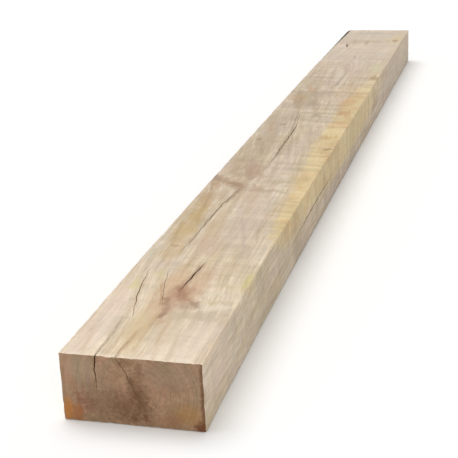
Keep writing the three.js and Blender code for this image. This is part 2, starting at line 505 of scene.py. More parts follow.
# Value carried from one range to another, smoothly and without overshoot
def remap(tree, value, low, high, newLow=0.0, newHigh=1.0, smooth=True):
    node = tree.nodes.new("ShaderNodeMapRange")
    node.interpolation_type = "SMOOTHSTEP" if smooth else "LINEAR"
    return feedAll(tree, node, (value, low, high, newLow, newHigh)).outputs[0]


def mixColour(tree, share, first, second, blend="MIX"):
    node = tree.nodes.new("ShaderNodeMix")
    node.data_type = "RGBA"
    node.blend_type = blend
    feed(tree, node.inputs["Factor"], share)
    feed(tree, node.inputs[6], first)
    feed(tree, node.inputs[7], second)
    return node.outputs[2]


def layOver(tree, colour, mask, over):
    return mixColour(tree, mask, colour, paint(*over))


def shade(tree, colour, tone):
    return mixColour(tree, 1.0, colour, combine(tree, tone, tone, tone), "MULTIPLY")


def rampThrough(tree, value, stops):
    node = feedAll(tree, tree.nodes.new("ShaderNodeValToRGB"), (value,))
    dots = node.color_ramp.elements
    dots[0].position, dots[-1].position = stops[0][0], stops[-1][0]
    for position, colour in stops[1:-1]:
        dots.new(position)
    for dot, (position, colour) in zip(dots, stops):
        dot.color = paint(*colour)
    return node.outputs[0]


def noiseNode(tree, vector, scale, detail=2.0, roughness=0.5, fourth=None):
    node = tree.nodes.new("ShaderNodeTexNoise")
    node.noise_dimensions = "3D" if fourth is None else "4D"
    feed(tree, node.inputs["Vector"], vector)
    if fourth is not None:
        feed(tree, node.inputs["W"], fourth)
    feed(tree, node.inputs["Scale"], scale)
    feed(tree, node.inputs["Detail"], detail)
    feed(tree, node.inputs["Roughness"], roughness)
    return node


def noiseAt(tree, *values, **named):
    return noiseNode(tree, *values, **named).outputs[0]


# A vector that varies about zero, to bend a pattern with
def noiseShift(tree, vector, scale, detail=2.0):
    noise = noiseNode(tree, vector, scale, detail)
    return vectorCompute(tree, "SUBTRACT", noise.outputs["Color"], (0.5, 0.5, 0.5))


# Coordinates sized by a Mapping node, across, along and up
def stretched(tree, vector, sizes):
    node = tree.nodes.new("ShaderNodeMapping")
    feed(tree, node.inputs["Vector"], vector)
    node.inputs["Scale"].default_value = sizes
    return node.outputs[0]


def patternAt(tree, vector, sizes, detail=2.0, roughness=0.5):
    return noiseAt(tree, stretched(tree, vector, sizes), 1, detail, roughness)


def shareAlong(tree, along):
    return remap(tree, along, nearEnd, farEnd, smooth=False)


# A line drawn over the length of the sleeper, as [share of the length, share of the range] points
def curveAlong(tree, share, points, low=0.0, high=1.0):
    node = tree.nodes.new("ShaderNodeFloatCurve")
    curve = node.mapping.curves[0]
    while len(curve.points) < len(points):
        curve.points.new(0.5, 0.5)
    for dot, place in zip(curve.points, points):
        dot.location = place
    node.mapping.update()
    feed(tree, node.inputs["Value"], share)
    return remap(tree, node.outputs[0], 0, 1, low, high, smooth=False)


# How far along the line from start to finish the nearest place on it is, and how far away that is
def nearestOnLine(tree, vector, start, finish):
    run = vectorCompute(tree, "SUBTRACT", finish, start)
    offset = vectorCompute(tree, "SUBTRACT", vector, start)
    onto = vectorCompute(tree, "DOT_PRODUCT", offset, run)
    share = compute(tree, "DIVIDE", onto, vectorCompute(tree, "DOT_PRODUCT", run, run), clamp=True)
    return share, vectorCompute(tree, "DISTANCE", offset, vectorCompute(tree, "SCALE", run, scale=share))


# An empty node group with named inputs and outputs. An input without a value is a vector.
def openGroup(name, inputs, outputs):
    group = bpy.data.node_groups.new(name, "ShaderNodeTree")
    for label, value in inputs.items():
        kind = "NodeSocketVector" if value is None else "NodeSocketFloat"
        socket = group.interface.new_socket(label, in_out="INPUT", socket_type=kind)
        if value is not None:
            socket.default_value = value
    for label in outputs:
        group.interface.new_socket(label, in_out="OUTPUT", socket_type="NodeSocketFloat")
    return group, group.nodes.new("NodeGroupInput").outputs, group.nodes.new("NodeGroupOutput").inputs


# A group set into a material. What is given as ringPitch feeds the input named Ring Pitch.
def placeGroup(tree, group, **values):
    node = tree.nodes.new("ShaderNodeGroup")
    node.node_tree = group
    for word, value in values.items():
        label = "".join(" " + letter if letter.isupper() else letter for letter in word).title()
        feed(tree, node.inputs[label], value)
    return node.outputs


# Growth of the log. A pattern has its repeats in a metre across, along and up, its detail and roughness.
# Here and below, a range is a low and a high value and what these become, which is 0 and 1 if not given.
grownWood = {
    # how the heart wanders, by share of the length, and over what range
    "heartAcross": [(0, 0.6), (0.18, 0.62), (0.4, 0.45), (0.6, 0.28), (0.78, 0.12), (0.9, 0.3), (1, 0.6)],
    "heartUp": [(0, 0.5), (0.2, 0.46), (0.42, 0.6), (0.58, 0.42), (0.7, 0.66), (0.85, 0.36), (1, 0.5)],
    "acrossRange": (-0.03, 0.02), "upRange": (-0.02, 0.02),
    # how far the fibres have drifted to the left, by share of the length, and how far at most
    "lean": [(0, 0), (0.04, 0), (0.15, 0.3), (0.29, 0.32), (0.34, 0.35), (0.55, 0.84), (0.68, 0.92),
             (0.84, 0.84), (1, 0.8)],
    "leanReach": 0.09,
    "slowBends": (7, 1.3, 7), "bendDetail": 2.5,
    "yearPitch": 55, "yearShift": 0.02,  # ring widths vary from year to year
    "yearTint": 130, "yearTintDrift": 0.05, "wholeYearShare": 0.4,
    "patterns": {
        "Fibres": ((420, 16, 420), 3, 0.6),
        "Grain": ((150, 6.5, 150), 4, 0.62),
        "Streaks": ((58, 5.5, 58), 4, 0.6),
        "Mottle": ((120, 48, 120), 3, 0.65),
    },
    "clouds": ((14, 5, 14), 3, 0.55), "pores": ((2100, 70, 2100), 1),
    "early": (0.0, 0.3, 1, 0), "late": (0.8, 1.0),  # ranges of a year
    "poreRange": (0.6, 0.7), "poreLeast": 0.15,  # of the late wood's pores, against those of the early wood
    "rayPitch": 54, "rayLength": 34, "rayDrift": 26, "rayRange": (0.6, 0.7),
}


# Rings round a wandering heart, fibres and pores along it, and rays out from it
def makeLogGrowth():
    wood = grownWood
    group, given, out = openGroup(
        "logGrowth",
        {"Vector": None, "Swell": 0.0, "Ring Pitch": 0.0042, "Waver": 0.009},
        ("Rings", "Ring Tint", "Fibres", "Grain", "Streaks", "Pores", "Rays", "Radius", "Clouds", "Mottle"),
    )
    across, along, up = separate(group, given["Vector"])
    share = shareAlong(group, along)
    leftmost, rightmost = [heart.x + end for end in wood["acrossRange"]]
    lowest, highest = [heart.z + end for end in wood["upRange"]]
    heartAcross = curveAlong(group, share, wood["heartAcross"], leftmost, rightmost)
    heartUp = curveAlong(group, share, wood["heartUp"], lowest, highest)
    bend = noiseShift(group, stretched(group, given["Vector"], wood["slowBends"]), 1, wood["bendDetail"])
    bendAcross, _, bendUp = separate(group, vectorCompute(group, "SCALE", bend, scale=given["Waver"]))
    sideways = plus(group, minus(group, across, heartAcross), bendAcross)
    upward = plus(group, minus(group, up, heartUp), bendUp)
    flat = combine(group, sideways, 0.0, upward)
    radius = plus(group, vectorCompute(group, "LENGTH", flat), given["Swell"])
    feed(group, out["Radius"], radius)
    years = noiseAt(group, combine(group, radius, 0.0, 0.0), wood["yearPitch"], 1)
    age = compute(group, "DIVIDE", timesPlus(group, years, wood["yearShift"], radius), given["Ring Pitch"])
    season = compute(group, "FRACT", age)
    early = remap(group, season, *wood["early"])
    late = remap(group, season, *wood["late"])
    feed(group, out["Rings"], compute(group, "MAXIMUM", early, late))
    year = group.nodes.new("ShaderNodeTexWhiteNoise")
    year.noise_dimensions = "1D"
    feed(group, year.inputs["W"], compute(group, "FLOOR", age))
    yearPlace = combine(group, radius, times(group, along, wood["yearTintDrift"]), 0.0)
    smoothYears = times(group, noiseAt(group, yearPlace, wood["yearTint"], 1), 1 - wood["wholeYearShare"])
    yearTint = timesPlus(group, year.outputs["Value"], wood["wholeYearShare"], smoothYears)
    feed(group, out["Ring Tint"], yearTint)
    # fibres, streaks and pores lie along the grown line, which leans to the left in two stretches
    lean = curveAlong(group, share, wood["lean"], 0.0, wood["leanReach"])
    grown = combine(group, plus(group, sideways, lean), along, upward)
    grown = vectorCompute(group, "ADD", grown, combine(group, given["Swell"], 0.0, given["Swell"]))
    for name, pattern in wood["patterns"].items():
        feed(group, out[name], patternAt(group, grown, *pattern))
    feed(group, out["Clouds"], patternAt(group, given["Vector"], *wood["clouds"]))
    pores = remap(group, patternAt(group, grown, *wood["pores"]), *wood["poreRange"])
    inEarly = timesPlus(group, early, 1 - wood["poreLeast"], wood["poreLeast"])
    feed(group, out["Pores"], times(group, pores, inEarly))
    # rays are thin sheets that stand out from the heart
    spoke = vectorCompute(group, "NORMALIZE", flat)
    spokeAcross, _, spokeUp = separate(group, vectorCompute(group, "SCALE", spoke, scale=wood["rayPitch"]))
    rayPlace = combine(group, spokeAcross, times(group, along, wood["rayLength"]), spokeUp)
    rayNoise = noiseAt(group, rayPlace, 1, 1, fourth=times(group, radius, wood["rayDrift"]))
    feed(group, out["Rays"], remap(group, rayNoise, *wood["rayRange"]))
    return group


limbShape = {
    "raggedPitch": 60, "ragged": 0.009, "ringShare": 3.0, "swellFall": 0.45, "swellPower": 1.6,
    # ranges of the distance from the limb's middle line, as a share of its radius
    "inside": (0.45, 1.4, 1, 0), "core": (0.0, 0.55, 1, 0), "skinRise": (0.7, 0.95),
    "skinFall": (0.95, 1.3, 1, 0), "ringShow": 0.8, "coreShow": 0.6,
}


# A limb of the tree: a cone from the heart side outward, with the ring lines swelling round it
def makeLimb():
    shape = limbShape
    group, given, out = openGroup(
        "limb",
        {
            "Vector": None, "Root": None, "Tip": None,
            "Root Radius": 0.01, "Tip Radius": 0.02, "Swell Size": 0.004,
        },
        ("Inside", "Core", "Skin", "Swell", "Limb Rings"),
    )
    share, apart = nearestOnLine(group, given["Vector"], given["Root"], given["Tip"])
    ragged = minus(group, noiseAt(group, given["Vector"], shape["raggedPitch"]), 0.5)
    apart = timesPlus(group, ragged, shape["ragged"], apart)
    taper = minus(group, given["Tip Radius"], given["Root Radius"])
    ratio = compute(group, "DIVIDE", apart, plus(group, given["Root Radius"], times(group, share, taper)))
    feed(group, out["Inside"], remap(group, ratio, *shape["inside"]))
    feed(group, out["Core"], remap(group, ratio, *shape["core"]))
    rise = remap(group, ratio, *shape["skinRise"])
    feed(group, out["Skin"], times(group, rise, remap(group, ratio, *shape["skinFall"])))
    feed(group, out["Limb Rings"], compute(group, "PINGPONG", times(group, ratio, shape["ringShare"]), 0.5))
    falloff = times(group, compute(group, "POWER", ratio, shape["swellPower"]), -shape["swellFall"])
    feed(group, out["Swell"], times(group, compute(group, "EXPONENT", falloff), given["Swell Size"]))
    return group


markShape = {
    "patchBreak": 3.0, "patchFade": (0.25, 1.0, 1, 0), "deep": 0.03,
    "streakBreak": 1.7, "streakFade": (0.0, 1.3, 1, 0), "streakTaper": (0.45, 1.0, 1, 0),
}


# A stain or patch: soft round an ellipsoid, broken up by a shared noise
def makePatch():
    group, given, out = openGroup(
        "patch",
        {
            "Vector": None, "Middle": None, "Reach": None,
            "Slant": 0.0, "Break Up": 0.0, "Ragged": 0.5, "Strength": 1.0,
        },
        ("Mask",),
    )
    across, along, up = separate(group, vectorCompute(group, "SUBTRACT", given["Vector"], given["Middle"]))
    across = minus(group, across, times(group, along, given["Slant"]))
    offset = vectorCompute(group, "DIVIDE", combine(group, across, along, up), given["Reach"])
    broken = times(group, minus(group, given["Break Up"], 0.5), given["Ragged"])
    ratio = timesPlus(group, broken, markShape["patchBreak"], vectorCompute(group, "LENGTH", offset))
    feed(group, out["Mask"], times(group, remap(group, ratio, *markShape["patchFade"]), given["Strength"]))
    return group


# A dark streak from one place to another: it tapers to both ends, and a shared noise breaks it up
def makeStreak():
    group, given, out = openGroup(
        "streak",
        {
            "Vector": None, "Start": None, "Finish": None,
            "Half Width": 0.002, "Break Up": 0.0, "Strength": 1.0,
        },
        ("Mask",),
    )
    share, apart = nearestOnLine(group, given["Vector"], given["Start"], given["Finish"])
    fromMiddle = compute(group, "ABSOLUTE", timesPlus(group, share, 2.0, -1.0))
    ratio = compute(group, "DIVIDE", apart, given["Half Width"])
    ratio = timesPlus(group, minus(group, 0.5, given["Break Up"]), markShape["streakBreak"], ratio)
    faded = times(group, remap(group, fromMiddle, *markShape["streakTaper"]), given["Strength"])
    feed(group, out["Mask"], times(group, remap(group, ratio, *markShape["streakFade"]), faded))
    return group


sawCut = {
    "driftSizes": (5, 9, 5), "drift": 0.012, "patchSizes": (6, 3, 6), "strongSizes": (9, 4, 9),
    "patchRange": (0.35, 0.65), "strongRange": (0.36, 0.64, 0.4, 1.5),
    "bitePitch": 160, "biteWidth": 4, "biteRange": (0.58, 0.8), "bandPitch": 44, "bandWidth": 5,
}


# Marks of the band saw across the faces, with a few that bit deeper
def makeSawMarks():
    saw = sawCut
    group, given, out = openGroup(
        "sawMarks", {"Vector": None, "Pitch": 0.0045, "Slant": 0.12}, ("Ripple", "Bites", "Bands"))
    across, along, up = separate(group, given["Vector"])
    leaning = timesPlus(group, plus(group, across, up), given["Slant"], along)
    place = timesPlus(group, patternAt(group, given["Vector"], saw["driftSizes"]), saw["drift"], leaning)
    wave = compute(group, "SINE", compute(group, "DIVIDE", times(group, place, 2 * math.pi), given["Pitch"]))
    patchy = remap(group, patternAt(group, given["Vector"], saw["patchSizes"]), *saw["patchRange"])
    feed(group, out["Ripple"], times(group, wave, patchy))
    biteAcross, biteUp = [times(group, value, saw["biteWidth"]) for value in (across, up)]
    bitePlace = combine(group, times(group, place, saw["bitePitch"]), biteAcross, biteUp)
    feed(group, out["Bites"], remap(group, noiseAt(group, bitePlace, 1), *saw["biteRange"]))
    bandAcross, bandUp = [times(group, value, saw["bandWidth"]) for value in (across, up)]
    bandPlace = combine(group, bandAcross, times(group, place, saw["bandPitch"]), bandUp)
    band = minus(group, noiseAt(group, bandPlace, 1, 3, 0.6), 0.5)
    strong = remap(group, patternAt(group, given["Vector"], saw["strongSizes"]), *saw["strongRange"])
    feed(group, out["Bands"], timesPlus(group, band, strong, 0.5))
    return group


logGrowth = makeLogGrowth()
limb = makeLimb()
patch = makePatch()
streak = makeStreak()
sawMarks = makeSawMarks()
print("node groups made")


# A place on the top face, from its distance to the near end and to the left side, and how deep below
def onTop(fromNear, fromLeft, below=0.0):
    y = nearEnd + fromNear
    return (leftSide + fromLeft + springAt(y), y, sleeper["height"] - below)


sawnLook = {
    # wood, from its streaks, its clouds and its rings
    "streakStops": [(0.26, (205, 182, 150)), (0.49, (221, 203, 177)), (0.74, (231, 216, 195))],
    "pink": (218, 196, 180), "pinkClouds": (0.5, 0.72, 0, 0.6),
    "yellow": (212, 193, 156), "yellowClouds": (0.5, 0.3, 0, 0.5),
    "earlyWood": (184, 154, 121), "ringShow": (0.5, 0.7, 0.1, 0.3),  # by share of the length
    "farTint": (214, 198, 176), "farTintShow": (0.3, 0.9, 0, 0.5),  # the far part is greyer and pinker
    # how a pattern darkens and lightens the wood: the pattern's low and high, and the tone at each
    "tones": {
        "Ring Tint": (0.25, 0.75, 0.965, 1.02), "Fibres": (0.3, 0.7, 0.92, 1.06),
        "Grain": (0.28, 0.72, 0.88, 1.09), "Mottle": (0.25, 0.75, 0.95, 1.04),
    },
    "bandTone": (0.25, 0.75, 0.91, 1.06), "sapBandTone": (0.3, 0.7, 0.88, 1.08),
    "bandPower": (0.15, 0.7, 1.0, 2.0),  # by share of the length
    # the wood has greyed more toward the middle, and part of its brightening toward the near end is painted
    # light: brightness by share of the length
    "greyingAndPaintedLight": [(0, 0.98), (0.1, 0.925), (0.2, 0.86), (0.3, 0.835), (0.42, 0.812), (0.55, 0.806), (0.7, 0.848),
              (0.85, 0.87), (1, 0.88)],
    "blueShift": (0.3, 0.9, 1.0, 1.05),
    # sapwood along the top right arris: its edge from the middle to the right side, by share of the length
    "sapwood": (232, 209, 158), "sapwoodDeep": (222, 188, 136), "sapShow": 0.8,
    "sapEdge": [(0, 1), (0.165, 1), (0.2, 0.8), (0.25, 0.68), (0.3, 0.65), (0.36, 0.58), (0.42, 0.5),
                (0.5, 0.5), (0.58, 0.52), (0.66, 0.62), (0.72, 0.7), (1, 0.7)],
    "sapLean": 0.7, "sapRagged": 0.036, "sapBlotches": ((26, 15, 26), 3, 0.6),
    "sapStart": (-0.009, 0.014), "sapFade": (0.56, 0.8, 1, 0.15), "sapDeepen": (0.44, 0.62),
    # marks
    "breakUp": ((90, 26, 90), 3, 0.6), "specks": ((300, 80, 300), 4, 0.7),
    "smallMark": 0.03,  # marks shorter than this break up more finely
    # noise that bends the outlines of the stains
    "bendSizes": (1, 0.5, 1), "bendPitch": 55, "bendReach": (0.022, 0.04, 0.01),
    "wobbleSizes": (30, 18, 30), "wobble": 0.008,
    "knot": (176, 136, 108), "knotRing": (198, 152, 122),
    "knotCore": (140, 98, 74), "knotSkin": (122, 88, 66),
    "ray": (196, 160, 122), "rayShow": 0.18, "pore": (124, 94, 68), "poreShow": 0.35,
    "bite": (150, 124, 92), "biteShow": 0.12,
    "roughness": (0.25, 0.75, 0.86, 0.62), "gloss": 0.3, "bumpiness": 0.8,
    # how far each stands up, in millimetres
    "fibreHeight": 0.16, "poreHeight": -0.22, "rippleHeight": 0.026, "biteHeight": -0.2, "ringHeight": -0.06,
}
# Limbs that the saw went through: where each leaves the heart side and where it comes out, its radius
# at both, how far the rings swell round it, and how much of it and of its skin shows
limbs = {
    "spikeKnot": {"root": onTop(0.735, 0.1, 0.014), "tip": onTop(0.772, -0.004, 0.006),
                  "girth": (0.007, 0.029), "swell": 0.012, "show": 0.12, "skin": 0.0},
    "clusterKnot": {"root": onTop(0.25, 0.106, 0.034), "tip": onTop(0.212, 0.108, 0.001),
                    "girth": (0.008, 0.011), "swell": 0.007, "show": 0.15, "skin": 0.0},
    "smallKnot": {"root": onTop(2.16, 0.17, 0.03), "tip": onTop(2.226, 0.18, -0.003),
                  "girth": (0.004, 0.0075), "swell": 0.005, "show": 0.6, "skin": 0.2},
    "buriedLimb": {"root": onTop(1.53, 0.105, 0.05), "tip": onTop(1.46, 0.07, 0.013),
                   "girth": (0.012, 0.019), "swell": 0.016, "show": 0.0, "skin": 0.0},
}
# Stains and patches of the top face, one of them a painted highlight: middle from the near end and the left
# side, reach along and across, slant, colour, strength and how ragged
topPatches = [
    # near end
    (0.06, 0.022, 0.16, 0.03, 0.0, (229, 208, 193), 0.5, 0.3),
    (0.2, 0.018, 0.1, 0.024, -0.12, (224, 202, 184), 0.45, 0.4),
    (0.09, 0.082, 0.12, 0.022, -0.1, (212, 188, 148), 0.55, 0.4),
    (0.115, 0.122, 0.1, 0.024, -0.05, (206, 186, 160), 0.55, 0.4),
    (0.05, 0.165, 0.12, 0.045, 0.0, (226, 208, 190), 0.5, 0.3),
    # painted highlight: a light band across the top along the near end, where the eased arris would catch
    # the light
    (0.0, 0.1, 0.011, 0.3, 0.0, (236, 220, 200), 0.55, 0.2),
    (0.174, 0.168, 0.014, 0.05, 0.0, (230, 216, 196), 0.6, 0.35),
    (0.143, 0.148, 0.022, 0.06, 0.0, (188, 172, 148), 0.6, 0.4),
    (0.196, 0.172, 0.008, 0.04, 0.0, (200, 180, 152), 0.5, 0.5),
    (0.222, 0.165, 0.012, 0.045, 0.0, (226, 210, 186), 0.5, 0.5),
    (0.254, 0.16, 0.013, 0.045, 0.0, (204, 190, 152), 0.5, 0.5),
    (0.315, 0.15, 0.026, 0.05, 0.0, (216, 194, 166), 0.5, 0.5),
    (0.242, 0.027, 0.03, 0.011, -0.15, (212, 198, 138), 0.6, 0.5),
    (0.286, 0.05, 0.028, 0.012, -0.15, (210, 196, 148), 0.5, 0.5),
    (0.275, 0.193, 0.05, 0.009, 0.0, (206, 190, 126), 0.55, 0.5),
    (0.36, 0.012, 0.05, 0.01, 0.0, (196, 190, 170), 0.35, 0.5),
    # round the knot cluster
    (0.265, 0.088, 0.085, 0.034, -0.02, (206, 172, 134), 0.65, 0.3),
    (0.27, 0.125, 0.07, 0.026, 0.0, (202, 168, 134), 0.6, 0.35),
    (0.17, 0.086, 0.08, 0.026, -0.25, (206, 174, 142), 0.65, 0.35),
    (0.215, 0.112, 0.06, 0.034, -0.1, (190, 152, 124), 0.75, 0.35),
    (0.2, 0.105, 0.085, 0.024, -0.1, (180, 142, 116), 0.55, 0.4),
    (0.21, 0.114, 0.024, 0.013, -0.1, (164, 124, 100), 0.55, 0.5),
    (0.23, 0.1, 0.024, 0.01, -0.2, (150, 108, 84), 0.5, 0.45),
    (0.195, 0.0925, 0.013, 0.009, 0.0, (146, 110, 84), 0.6, 0.5),
    (0.178, 0.0955, 0.016, 0.009, 0.2, (150, 114, 88), 0.55, 0.5),
    (0.156, 0.1015, 0.024, 0.011, -0.1, (158, 126, 104), 0.6, 0.45),
    (0.139, 0.101, 0.013, 0.009, 0.0, (140, 110, 86), 0.65, 0.45),
    (0.116, 0.104, 0.022, 0.01, 0.1, (188, 156, 126), 0.5, 0.5),
    (0.186, 0.1365, 0.017, 0.012, -0.1, (142, 112, 88), 0.75, 0.35),
    (0.2, 0.127, 0.02, 0.012, -0.4, (178, 142, 114), 0.35, 0.5),
    (0.178, 0.132, 0.022, 0.024, 0.0, (178, 154, 130), 0.55, 0.4),
    # from the knot cluster to the spike knot
    (0.375, 0.045, 0.04, 0.035, 0.0, (202, 178, 136), 0.55, 0.5),
    (0.42, 0.095, 0.07, 0.04, -0.05, (206, 178, 156), 0.55, 0.4),
    (0.41, 0.037, 0.014, 0.009, -0.1, (164, 132, 100), 0.6, 0.6),
    (0.57, 0.03, 0.14, 0.026, -0.06, (196, 166, 112), 0.65, 0.35),
    (0.46, 0.034, 0.09, 0.03, -0.04, (204, 176, 128), 0.6, 0.4),
    (0.52, 0.08, 0.13, 0.02, -0.05, (206, 180, 142), 0.5, 0.4),
    (0.53, 0.125, 0.16, 0.045, 0.0, (210, 188, 172), 0.5, 0.4),
    (0.66, 0.03, 0.08, 0.03, -0.1, (196, 164, 128), 0.5, 0.4),
    (0.66, 0.1, 0.07, 0.03, -0.1, (210, 182, 160), 0.5, 0.4),
    (0.712, 0.13, 0.014, 0.05, 0.0, (184, 168, 134), 0.6, 0.4),
    (0.768, 0.135, 0.02, 0.045, 0.0, (186, 172, 138), 0.6, 0.4),
    (0.742, 0.145, 0.01, 0.05, 0.0, (206, 188, 156), 0.4, 0.5),
    (0.83, 0.14, 0.03, 0.04, 0.0, (216, 196, 172), 0.4, 0.5),
    (0.79, 0.178, 0.03, 0.026, 0.0, (202, 172, 122), 0.5, 0.5),
    # spike knot
    (0.757, 0.038, 0.06, 0.052, -1.2, (190, 160, 132), 0.5, 0.5),
    (0.764, 0.026, 0.05, 0.03, -1.3, (178, 150, 118), 0.4, 0.6),
    (0.744, 0.056, 0.024, 0.022, -0.8, (154, 124, 100), 0.55, 0.6),
    (0.716, 0.066, 0.028, 0.02, -0.3, (168, 138, 112), 0.5, 0.5),
    (0.83, 0.07, 0.07, 0.026, -0.2, (184, 156, 134), 0.45, 0.6),
    (0.74, 0.016, 0.03, 0.016, -0.5, (190, 150, 116), 0.5, 0.5),
    (0.786, 0.004, 0.03, 0.01, -0.5, (144, 126, 106), 0.5, 0.4),
    (0.722, 0.092, 0.04, 0.03, -0.5, (192, 164, 146), 0.4, 0.5),
    # middle
    (0.81, 0.066, 0.08, 0.034, -0.25, (188, 162, 138), 0.5, 0.6),
    (0.86, 0.058, 0.1, 0.034, -0.25, (186, 158, 134), 0.55, 0.6),
    (0.855, 0.03, 0.09, 0.024, -0.2, (188, 166, 134), 0.55, 0.5),
    (0.95, 0.04, 0.08, 0.04, -0.1, (190, 168, 138), 0.55, 0.4),
    (1.06, 0.045, 0.12, 0.04, -0.1, (186, 166, 138), 0.55, 0.4),
    (1.17, 0.028, 0.08, 0.024, -0.1, (198, 172, 144), 0.5, 0.5),
    (1.23, 0.04, 0.07, 0.045, 0.0, (192, 174, 152), 0.5, 0.4),
    (1.02, 0.125, 0.15, 0.03, 0.0, (214, 194, 176), 0.45, 0.4),
    (1.065, 0.025, 0.015, 0.007, 0.0, (160, 128, 96), 0.65, 0.6),
    (1.19, 0.05, 0.02, 0.006, -0.2, (150, 132, 108), 0.6, 0.6),
    (0.998, 0.186, 0.014, 0.01, 0.0, (142, 132, 98), 0.65, 0.5),
    (1.093, 0.172, 0.03, 0.026, 0.0, (198, 162, 108), 0.6, 0.4),
    (1.02, 0.172, 0.016, 0.03, 0.0, (226, 206, 172), 0.5, 0.5),
    (1.285, 0.108, 0.02, 0.007, -0.1, (154, 140, 118), 0.6, 0.6),
    (1.12, 0.13, 0.04, 0.03, 0.0, (202, 180, 162), 0.45, 0.5),
    (1.30, 0.09, 0.02, 0.07, 0.0, (186, 172, 146), 0.5, 0.6),
    (1.31, 0.172, 0.036, 0.026, 0.0, (190, 148, 100), 0.65, 0.5),
    (1.42, 0.165, 0.09, 0.032, 0.1, (206, 166, 114), 0.6, 0.4),
    (1.44, 0.06, 0.13, 0.06, 0.0, (184, 164, 134), 0.65, 0.4),
    (1.41, 0.034, 0.036, 0.014, -0.1, (180, 146, 116), 0.45, 0.6),
    (1.4, 0.08, 0.04, 0.016, -0.1, (170, 150, 124), 0.45, 0.6),
    (1.46, 0.03, 0.06, 0.03, -0.2, (196, 164, 122), 0.5, 0.5),
    # far part
    (1.56, 0.045, 0.08, 0.014, -0.25, (204, 168, 130), 0.6, 0.5),
    (1.55, 0.14, 0.14, 0.03, 0.1, (210, 182, 146), 0.55, 0.5),
    (1.62, 0.05, 0.12, 0.05, 0.0, (190, 172, 142), 0.5, 0.5),
    (1.69, 0.186, 0.05, 0.015, 0.0, (170, 138, 98), 0.65, 0.5),
    (1.74, 0.13, 0.07, 0.025, 0.0, (204, 182, 166), 0.45, 0.5),
    (1.81, 0.178, 0.09, 0.024, 0.0, (212, 204, 164), 0.65, 0.4),
    (1.965, 0.096, 0.02, 0.007, 0.0, (158, 132, 114), 0.65, 0.6),
    (1.932, 0.091, 0.012, 0.006, 0.0, (166, 142, 122), 0.6, 0.6),
    (1.89, 0.138, 0.016, 0.008, 0.0, (172, 152, 132), 0.5, 0.6),
    (1.94, 0.172, 0.016, 0.03, 0.0, (184, 176, 154), 0.55, 0.5),
    (2.02, 0.16, 0.04, 0.035, 0.0, (214, 200, 182), 0.45, 0.4),
    (2.214, 0.18, 0.03, 0.012, 0.0, (150, 116, 78), 0.6, 0.5),
    (2.25, 0.176, 0.09, 0.026, 0.0, (216, 196, 150), 0.6, 0.4),
    (2.2, 0.1, 0.04, 0.1, 0.0, (188, 172, 142), 0.5, 0.6),
    (2.34, 0.09, 0.035, 0.05, 0.0, (188, 178, 162), 0.55, 0.5),
    (2.3, 0.1, 0.05, 0.12, 0.0, (206, 196, 176), 0.5, 0.4),
]
